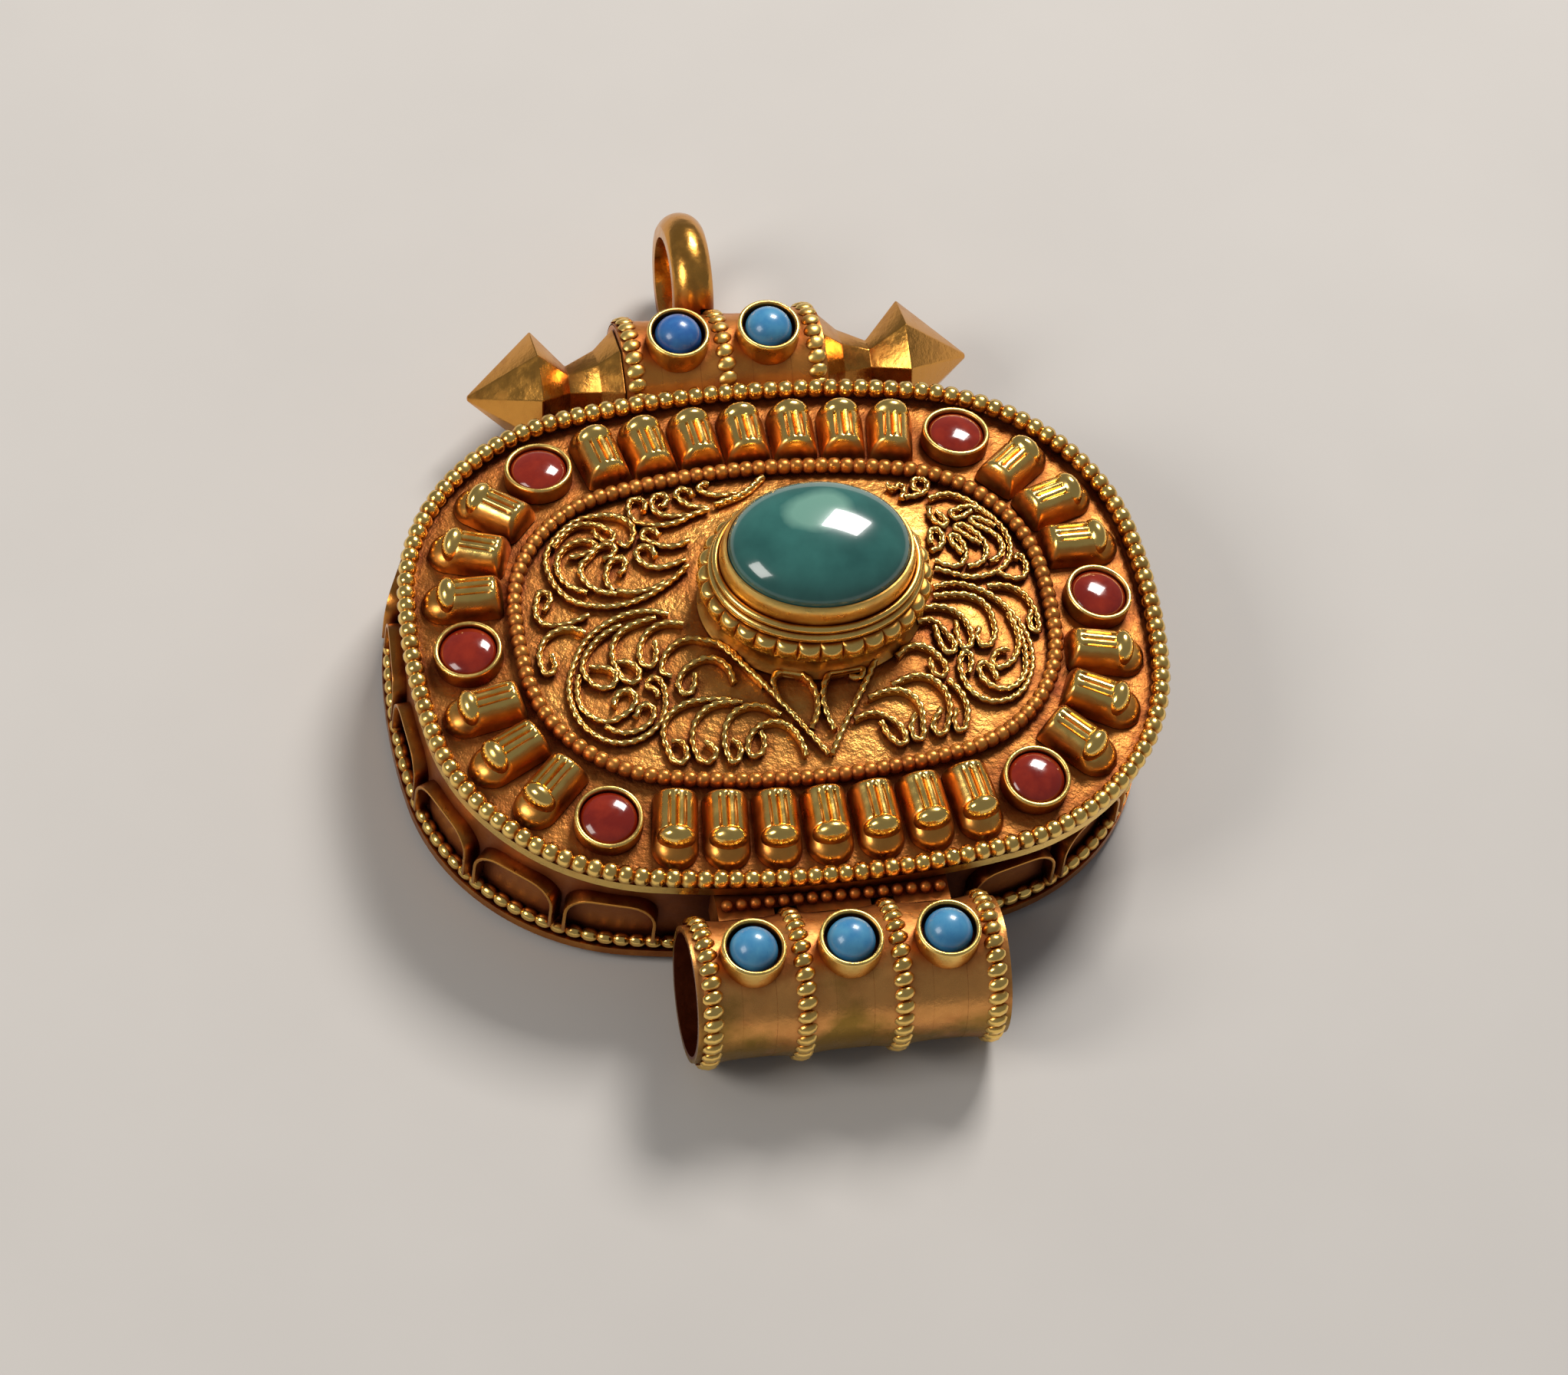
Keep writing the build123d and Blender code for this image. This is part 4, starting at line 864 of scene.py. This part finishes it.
class AMULET_OT_stage(bpy.types.Operator):
    """Lay the floor, the lamps and the camera"""

    bl_idname = "amulet.stage"
    bl_label = "Stage"

    def execute(self, context):
        scene = context.scene
        stage = scene.amulet_stage
        shape = bmesh.new()
        bmesh.ops.create_grid(shape, x_segments=4, y_segments=4, size=1.2)
        mesh = bpy.data.meshes.new("floor")
        shape.to_mesh(mesh)
        shape.free()
        floor = bpy.data.objects.new("floor", mesh)
        scene.collection.objects.link(floor)
        material, tree, shader, place = shaded("floor_paper", stage.floor)
        clouds = ranged(tree, noise(tree, place, 60.0, 4.0), 0.3, 0.7, 0.0, 1.0)
        pale = [min(1.0, channel * 1.04) for channel in stage.floor]
        tree.links.new(blended(tree, clouds, stage.floor, pale), shader.inputs["Base Color"])
        shader.inputs["Roughness"].default_value = 0.9
        shader.inputs["Specular IOR Level"].default_value = 0.2
        mesh.materials.append(material)
        self.lamp(scene, "key", (0.15, 0.23, 0.30), 0.13, stage.key_power, (1.0, 0.97, 0.93))
        self.lamp(scene, "fill", (-0.26, -0.05, 0.22), 0.14, stage.fill_power, (1.0, 0.96, 0.90))
        world = bpy.data.worlds.new("studio")
        world.use_nodes = True
        world.node_tree.nodes["Background"].inputs["Color"].default_value = (0.93, 0.96, 1.0, 1.0)
        world.node_tree.nodes["Background"].inputs["Strength"].default_value = 0.2
        scene.world = world
        scene.view_settings.view_transform = "Standard"
        self.camera(scene, stage)
        return {"FINISHED"}

    def lamp(self, scene, name, place, size, power, colour):
        """A square soft lamp that faces the box."""
        lamp = bpy.data.lights.new(name, "AREA")
        lamp.size = size
        lamp.energy = power
        lamp.color = colour
        holder = bpy.data.objects.new(name, lamp)
        holder.location = place
        holder.rotation_euler = (-Vector(place)).to_track_quat("-Z", "Y").to_euler()
        scene.collection.objects.link(holder)

    def camera(self, scene, stage):
        """The camera at the viewing angle."""
        azimuth, elevation, roll = stage.azimuth, stage.elevation, stage.roll
        back = Vector((
            math.sin(azimuth) * math.cos(elevation),
            -math.cos(azimuth) * math.cos(elevation),
            math.sin(elevation)))
        level = Vector((math.cos(azimuth), math.sin(azimuth), 0))
        upward = back.cross(level)
        right = level * math.cos(roll) + upward * math.sin(roll)
        upright = upward * math.cos(roll) - level * math.sin(roll)
        lens = bpy.data.cameras.new("camera")
        lens.sensor_fit = "HORIZONTAL"
        lens.sensor_width = 36.0
        lens.lens = 211.35
        lens.clip_start = 0.01
        lens.clip_end = 10.0
        holder = bpy.data.objects.new("camera", lens)
        target = Vector((0, 0, 7.0 * MM))
        location = target - right * 0.05 * MM - upright * 2.97 * MM + back * stage.distance
        turn = Matrix((right, upright, back)).transposed().to_4x4()
        holder.matrix_world = Matrix.Translation(location) @ turn
        scene.collection.objects.link(holder)
        scene.camera = holder


class AMULET_OT_gilding(bpy.types.Operator):
    """Gild the plain metal pieces"""

    bl_idname = "amulet.gilding"
    bl_label = "Gilding"

    finishes = {
        "gilt_granular": ("lid_shell",),
        "gilt_satin": ("lid_edge_strip", "bar_shaft"),
        "gilt_facet": ("back_plate", "lid_flange"),
        "gilt_tube": ("cord_tube",),
        "gilt_ember": (
            "granule_row", "cord_tube_saddle", "hanger_tube", "hanger_end_plates", "hanger_saddle"),
        "gilt_shadowed": ("box_wall",),
    }

    def execute(self, context):
        for name, nodes in self.finishes.items():
            for node in nodes:
                slots = NODES[node].data.materials
                slots.clear()
                slots.append(finish(name))
        return {"FINISHED"}


class AMULET_OT_beads(bpy.types.Operator):
    """Bead the rim, the field's edge and the foot of the wall"""

    bl_idname = "amulet.beads"
    bl_label = "Beaded edges"

    def execute(self, context):
        edge = context.scene.amulet_edges
        rim = notched_wire(RIM, RIM_WIRE_HEIGHT, edge.rim_bead, edge.rim_pitch, depth=0.42)
        finished_piece("rim_beads", rim, "gilt_rubbed", "lid", ("outer_bead_wire",), 60.0)
        field = notched_wire(FIELD, FIELD_WIRE_HEIGHT, edge.field_bead, edge.field_pitch, depth=0.34)
        finished_piece("field_beads", field, "gilt_ember", "lid", ("inner_bead_wire",), 60.0)
        foot = notched_wire(FLANGE, FOOT_WIRE_HEIGHT, edge.foot_bead, edge.foot_pitch, depth=0.45)
        finished_piece("foot_beads", foot, "gilt_rubbed", "box", ("base_wire",), 60.0)
        return {"FINISHED"}


class AMULET_OT_rings(bpy.types.Operator):
    """Notch the rings round both tubes"""

    bl_idname = "amulet.rings"
    bl_label = "Tube rings"

    def execute(self, context):
        notches = context.scene.amulet_edges.ring_notches
        beads, flares = self.rings(
            CORD_AXIS, CORD_RING_PLACES, CORD_TUBE_RADIUS, CORD_RING_RADIUS, CORD_RING_WIDTH, notches)
        finished_piece("cord_tube_beads", beads, "gilt_rubbed", "box", ("cord_tube_rings",))
        finished_piece("cord_tube_flares", flares, "gilt_tube", "box")
        beads, flares = self.rings(
            HANGER_AXIS, HANGER_RING_PLACES, HANGER_TUBE_RADIUS, HANGER_RING_RADIUS, HANGER_RING_WIDTH,
            notches - 3)
        finished_piece("hanger_beads", beads, "gilt_satin", "box", ("hanger_rings",))
        finished_piece("hanger_flares", flares, "gilt_ember", "box")
        return {"FINISHED"}

    def rings(self, axis, middles, tube, reach, width, notches):
        """Rings of flattened beads, and the flared bands under them."""
        shape, flares = bmesh.new(), bmesh.new()
        along = Vector((1, 0, 0))
        rise = reach - tube
        flare = 1.3 * width
        for x in middles:
            middle = Vector((x, axis.y, axis.z))
            seat = placed(middle, Vector((0, 1, 0)), UP, along)
            low = min(flare, x - middles[0] + width / 2)
            high = min(flare, middles[-1] - x + width / 2)
            band = [(tube - 0.05, -low)] + self.flank(tube, rise, -low) + self.flank(tube, rise, high)[::-1]
            joined(flares, spun(band + [(tube - 0.05, high)], 64), seat)
            for index in range(notches):
                turn = math.tau * index / notches
                outward = Vector((0, math.cos(turn), math.sin(turn)))
                tangent = Vector((0, -math.sin(turn), math.cos(turn)))
                pitch = math.tau * tube / notches
                lay = (tangent + along * 0.35).normalized()
                add_bead(
                    shape, middle + outward * (tube + 0.12), lay, lay.cross(outward), outward,
                    pitch * 0.54 * MM, width * 0.47 * MM, (rise - 0.12) * MM)
        bmesh.ops.recalc_face_normals(shape, faces=shape.faces)
        return shape, flares

    def flank(self, tube, rise, reach):
        """One hollow flank of a ring, from its foot to its crest."""
        shares = [step / 6 for step in range(6)]
        return [(tube + 0.01 + rise * 0.55 * share**2, reach * (1 - share)) for share in shares]


class AMULET_OT_petals(bpy.types.Operator):
    """Press the petals of the border"""

    bl_idname = "amulet.petals"
    bl_label = "Border petals"

    def execute(self, context):
        sizes = context.scene.amulet_petals
        quarter = BORDER.length / 4
        corner = (CORAL_RUN + quarter) / 2
        runs = [
            run for side in (0, 2 * quarter) for run in even_row(SIDE_PETALS, SIDE_PETAL_PITCH, side)]
        for middle in (corner, 2 * quarter - corner, 2 * quarter + corner, 4 * quarter - corner):
            runs += even_row(CORNER_PETALS, CORNER_PETAL_PITCH, middle)
        shape = bmesh.new()
        # Per-vertex value that colours the petals: painted shade in the flutes and painted highlight on the
        # tops, partly burnish.
        rub_and_shade_layer = shape.verts.layers.float.new("rub_and_shade")
        for run in runs:
            add_petal(shape, rub_and_shade_layer, sizes, border_seat(run))
        bmesh.ops.recalc_face_normals(shape, faces=shape.faces)
        finished_piece("petals", shape, "gilt_pressed", "lid", ("border_petals",), 50.0)
        return {"FINISHED"}


class AMULET_OT_corals(bpy.types.Operator):
    """Set the red stones on the border"""

    bl_idname = "amulet.corals"
    bl_label = "Red stones"

    def execute(self, context):
        quarter = BORDER.length / 4
        runs = (
            CORAL_RUN, quarter, 2 * quarter - CORAL_RUN, 2 * quarter + CORAL_RUN, 3 * quarter, -CORAL_RUN)
        cups, stones = bmesh.new(), bmesh.new()
        for run in runs:
            seat = border_seat(run)
            joined(cups, spun(cup_profile(radius=1.6, wall=0.24, floor=0.0, height=0.85), 40), seat)
            dome = dome_profile(radius=1.34, floor=0.05, side=0.5, crown=1.02)
            joined(stones, spun(dome, 40, False), seat)
        finished_piece("coral_cups", cups, "gilt_satin", "lid", ("coral_bezels",))
        finished_piece("corals", stones, "coral_red", "lid", ("coral_stones",))
        return {"FINISHED"}


class AMULET_OT_filigree(bpy.types.Operator):
    """Curl the twisted wires on the field"""

    bl_idname = "amulet.filigree"
    bl_label = "Filigree"

    def execute(self, context):
        sizes = context.scene.amulet_filigree
        step = sizes.turn / 6
        runs = [even_points(run, step) for run in smooth_lines(SCROLLS_MM, self.ground)]
        runs = [run for run in map(self.clear_of_setting, runs) if len(run) > 12]
        strips = bmesh.new()
        for run in runs:
            self.strip(strips, run[::3], sizes)
        bmesh.ops.recalc_face_normals(strips, faces=strips.faces)
        bmesh.ops.solidify(strips, geom=strips.faces, thickness=sizes.flat * 0.6)
        finished_piece("scroll_strips", strips, "gilt_wire", "lid")
        wires = self.twisted(runs, sizes)
        finished_piece("scroll_wires", wires, "gilt_wire", "lid", ("filigree_scrolls",), 70.0)
        return {"FINISHED"}

    def ground(self, x, y):
        """Height of the field's ground."""
        hit, place, _, _ = NODES["lid_shell"].ray_cast((x, y, 9.0 * MM), (0, 0, -1))
        if not hit:
            raise RuntimeError("a scroll leaves the field")
        return place.z

    def clear_of_setting(self, run):
        """The points of a run outside the foot of the centre setting."""
        half_x, half_y = SETTING_HALF
        return [
            p for p in run
            if ((p.x / MM - SETTING_MIDDLE.x) / (half_x + 0.8)) ** 2
            + ((p.y / MM - SETTING_MIDDLE.y) / (half_y + 0.8)) ** 2 > 1
        ]

    def strip(self, shape, run, sizes):
        """Flat wire on edge under a run."""
        corners = [shape.verts.new(p + UP * sizes.stand) for p in run]
        edges = [shape.edges.new(pair) for pair in zip(corners, corners[1:])]
        low = bmesh.ops.extrude_edge_only(shape, edges=edges)["geom"]
        feet = [item for item in low if isinstance(item, bmesh.types.BMVert)]
        bmesh.ops.translate(shape, vec=UP * -sizes.stand, verts=feet)

    def twisted(self, runs, sizes):
        """Flat wire twisted along each run."""
        oval = bpy.data.curves.new("wire_oval", "CURVE")
        ring = oval.splines.new("POLY")
        ring.points.add(7)
        ring.use_cyclic_u = True
        for index, point in enumerate(ring.points):
            turn = math.tau * index / 8
            point.co = (sizes.wire / 2 * math.cos(turn), sizes.flat / 2 * math.sin(turn), 0, 1)
        oval_holder = bpy.data.objects.new("wire_oval", oval)
        curve = bpy.data.curves.new("wire_runs", "CURVE")
        curve.dimensions = "3D"
        curve.twist_mode = "Z_UP"
        curve.bevel_mode = "OBJECT"
        curve.bevel_object = oval_holder
        curve.use_fill_caps = True
        for run in runs:
            spline = curve.splines.new("POLY")
            spline.points.add(len(run) - 1)
            for index, (point, place) in enumerate(zip(spline.points, run)):
                point.co = (*(place + UP * sizes.stand), 1)
                point.tilt = math.pi * index / 6
        return curve_shape(curve, oval_holder)


class AMULET_OT_setting(bpy.types.Operator):
    """Build the centre setting and its stone"""

    bl_idname = "amulet.setting"
    bl_label = "Centre setting"

    def execute(self, context):
        foot = bmesh.new()
        setting_ring(foot, [
            (0.1, 7.62), (1.0, 7.62), (1.0, 7.75), (0.82, 7.95), (0.68, 8.25), (0.66, 8.6),
            (0.78, 8.9), (0.92, 9.08), (0.1, 9.08)], 96)
        finished_piece("setting_stem", foot, "gilt_satin", "lid", ("setting_foot",))
        collar = bmesh.new()
        setting_ring(collar, [
            (0.32, 9.1), (0.92, 9.1), (1.08, 9.2), (1.17, 9.4), (1.2, 9.62), (1.16, 9.84),
            (1.04, 10.0), (0.88, 10.08), (0.32, 10.08)], 360, 30, 0.3)
        finished_piece("setting_lobes", collar, "gilt_rubbed", "lid", ("setting_collar",))
        wires = bmesh.new()
        setting_ring(wires, self.round_wire(0.5, 10.35, 0.25), 96)
        setting_ring(wires, self.round_wire(0.4, 10.8, 0.19), 96)
        finished_piece("setting_double_wire", wires, "gilt_rubbed", "lid", ("setting_wires",))
        bezel = bmesh.new()
        setting_ring(bezel, [
            (0.03, 10.62), (0.25, 10.62), (0.25, 11.2), (0.22, 11.55), (0.15, 11.8), (0.06, 11.93),
            (-0.02, 11.95), (-0.08, 11.9), (-0.04, 11.7), (0.03, 11.4)], 96)
        finished_piece("setting_wall", bezel, "gilt_satin", "lid", ("setting_bezel",))
        stone = bmesh.new()
        half_x, half_y = SETTING_HALF
        crown = dome_profile(0.985, 10.66, 11.9, 13.64, 20)
        seat = Matrix.Translation(SETTING_MIDDLE * MM) @ Matrix.Diagonal((half_x, half_y, 1.0, 1.0))
        joined(stone, spun(crown, 72, False), seat)
        finished_piece("green_cabochon", stone, "sea_green", "lid", ("centre_stone",))
        return {"FINISHED"}

    def round_wire(self, growth, height, radius):
        """Round section of a wire."""
        turns = [math.tau * step / 12 for step in range(12)]
        return [(growth + radius * math.cos(turn), height + radius * math.sin(turn)) for turn in turns]


class AMULET_OT_tube_stones(bpy.types.Operator):
    """Set the blue stones on both tubes"""

    bl_idname = "amulet.tube_stones"
    bl_label = "Blue stones"

    def execute(self, context):
        lower = Vector((0, -math.sin(CORD_STONE_LEAN), math.cos(CORD_STONE_LEAN)))
        self.row("cord", CORD_AXIS, CORD_STONE_PLACES, lower, CORD_TUBE_RADIUS, CORD_CUP_REACH)
        stones = self.row(
            "hanger", HANGER_AXIS, HANGER_STONE_PLACES, UP, HANGER_TUBE_RADIUS, HANGER_CUP_REACH)
        stones.data.materials.append(finish("deep_blue"))
        for face in stones.data.polygons:
            face.material_index = int(face.center.x < 0)
        return {"FINISHED"}

    def row(self, tube_name, axis, middles, normal, radius, reach):
        """Cups and balls along one tube."""
        along = Vector((1, 0, 0))
        cups, balls = bmesh.new(), bmesh.new()
        for x in middles:
            middle = Vector((x, axis.y, axis.z))
            seat = placed(middle, along, normal.cross(along), normal)
            top = radius + reach
            cup = cup_profile(radius=1.5, wall=0.24, floor=radius - 0.35, height=top)
            joined(cups, spun(cup, 40), seat)
            dome = dome_profile(radius=1.12, floor=top - 0.9, side=top - 0.4, crown=top + 0.62)
            joined(balls, spun(dome, 32, False), seat)
        names = {
            "cord": ("cord_tube_bezels", "cord_tube_stones"),
            "hanger": ("hanger_bezels", "hanger_stones"),
        }
        cup_node, stone_node = names[tube_name]
        finished_piece(tube_name + "_cups", cups, "gilt_satin", "box", (cup_node,))
        return finished_piece(
            tube_name + "_blue_stones", balls, "sky_blue", "box", (stone_node,))


class AMULET_OT_edges(bpy.types.Operator):
    """Round the edges of the finials and the bail"""

    bl_idname = "amulet.edges"
    bl_label = "Rounded edges"

    def execute(self, context):
        sides = (("left_spike", "left_finial", "cross_bar"), ("right_spike", "right_finial", "screw_finial"))
        for name, node, body in sides:
            spike = softened_copy(node, 0.08 * MM, 12.0)
            finished_piece(name, spike, "gilt_facet", body, (node,), 20.0)
        loop = softened_copy("bail", 0.3 * MM)
        finished_piece("hanging_loop", loop, "gilt_facet", "box", ("bail",))
        return {"FINISHED"}


class AMULET_OT_arcade(bpy.types.Operator):
    """Bend the arched strips round the wall"""

    bl_idname = "amulet.arcade"
    bl_label = "Arcade strips"

    def execute(self, context):
        middle = (WALL.length / 2 - CORD_HALF_LENGTH + HANGER_HALF_LENGTH) / 2 + ARCH_SHIFT
        runs = even_row(ARCHES_EACH_SIDE, ARCH_PITCH, middle)
        shape = bmesh.new()
        for run in runs + [-run for run in runs]:
            point, tangent, outward = WALL.station(run, ARCH_FOOT)
            arch = self.arch(half=2.24, height=2.75, corner=1.25, strip=0.17)
            joined(shape, arch, placed(point, tangent, outward, UP))
        bmesh.ops.recalc_face_normals(shape, faces=shape.faces)
        finished_piece("arcade_strips", shape, "gilt_facet", "box", ("arcade_cells",))
        return {"FINISHED"}

    def arch(self, half, height, corner, strip):
        """One strip on edge: up, round over the top and down again, standing out from the wall."""
        shape = bmesh.new()
        turns = [math.pi / 2 * step / 6 for step in range(7)]
        inset = half - strip / 2
        rise = height - strip / 2
        bend = [
            (inset - corner + corner * math.cos(turn), rise - corner + corner * math.sin(turn))
            for turn in turns
        ]
        line = [(inset, 0.0)] + bend + [(-x, z) for x, z in reversed(bend)] + [(-inset, 0.0)]
        corners = [shape.verts.new((x * MM, -ARCH_SINK * MM, z * MM)) for x, z in line]
        edges = [shape.edges.new(pair) for pair in zip(corners, corners[1:])]
        out = bmesh.ops.extrude_edge_only(shape, edges=edges)["geom"]
        edge_points = [item for item in out if isinstance(item, bmesh.types.BMVert)]
        bmesh.ops.translate(shape, vec=(0, ARCH_DEPTH * MM, 0), verts=edge_points)
        bmesh.ops.recalc_face_normals(shape, faces=shape.faces)
        bmesh.ops.solidify(shape, geom=shape.faces, thickness=strip * MM)
        lips = [edge for edge in shape.edges if edge.calc_face_angle(0.0) > math.radians(60)]
        bmesh.ops.bevel(
            shape, geom=lips, offset=0.05 * MM, offset_type="OFFSET", affect="EDGES", segments=2,
            profile=0.5, material=-1, clamp_overlap=True)
        return shape


class AMULET_PT_panel(bpy.types.Panel):
    """Lists the pieces of the amulet box"""

    bl_idname = "AMULET_PT_panel"
    bl_label = "Amulet Box"
    bl_space_type = "VIEW_3D"
    bl_region_type = "UI"
    bl_category = "Amulet Box"

    def draw(self, context):
        for operator in PIECE_OPERATORS:
            self.layout.operator(operator.bl_idname)


SETTING_GROUPS = {
    "amulet_edges": EdgeSizes,
    "amulet_petals": PetalSizes,
    "amulet_filigree": FiligreeSizes,
    "amulet_colours": FinishColours,
    "amulet_stage": StageSettings,
}
PIECE_OPERATORS = (
    AMULET_OT_stage,
    AMULET_OT_gilding,
    AMULET_OT_beads,
    AMULET_OT_rings,
    AMULET_OT_petals,
    AMULET_OT_corals,
    AMULET_OT_filigree,
    AMULET_OT_setting,
    AMULET_OT_tube_stones,
    AMULET_OT_edges,
    AMULET_OT_arcade,
)


def register():
    for name, group in SETTING_GROUPS.items():
        bpy.utils.register_class(group)
        setattr(bpy.types.Scene, name, bpy.props.PointerProperty(type=group))
    for operator in PIECE_OPERATORS:
        bpy.utils.register_class(operator)
    bpy.utils.register_class(AMULET_PT_panel)


def unregister():
    bpy.utils.unregister_class(AMULET_PT_panel)
    for operator in reversed(PIECE_OPERATORS):
        bpy.utils.unregister_class(operator)
    for name, group in SETTING_GROUPS.items():
        delattr(bpy.types.Scene, name)
        bpy.utils.unregister_class(group)


def main():
    register()
    bpy.ops.amulet.stage()
    bpy.ops.amulet.gilding()
    bpy.ops.amulet.beads()
    bpy.ops.amulet.rings()
    bpy.ops.amulet.petals()
    bpy.ops.amulet.corals()
    bpy.ops.amulet.filigree()
    bpy.ops.amulet.setting()
    bpy.ops.amulet.tube_stones()
    bpy.ops.amulet.edges()
    bpy.ops.amulet.arcade()


if __name__ == "__main__":
    main()
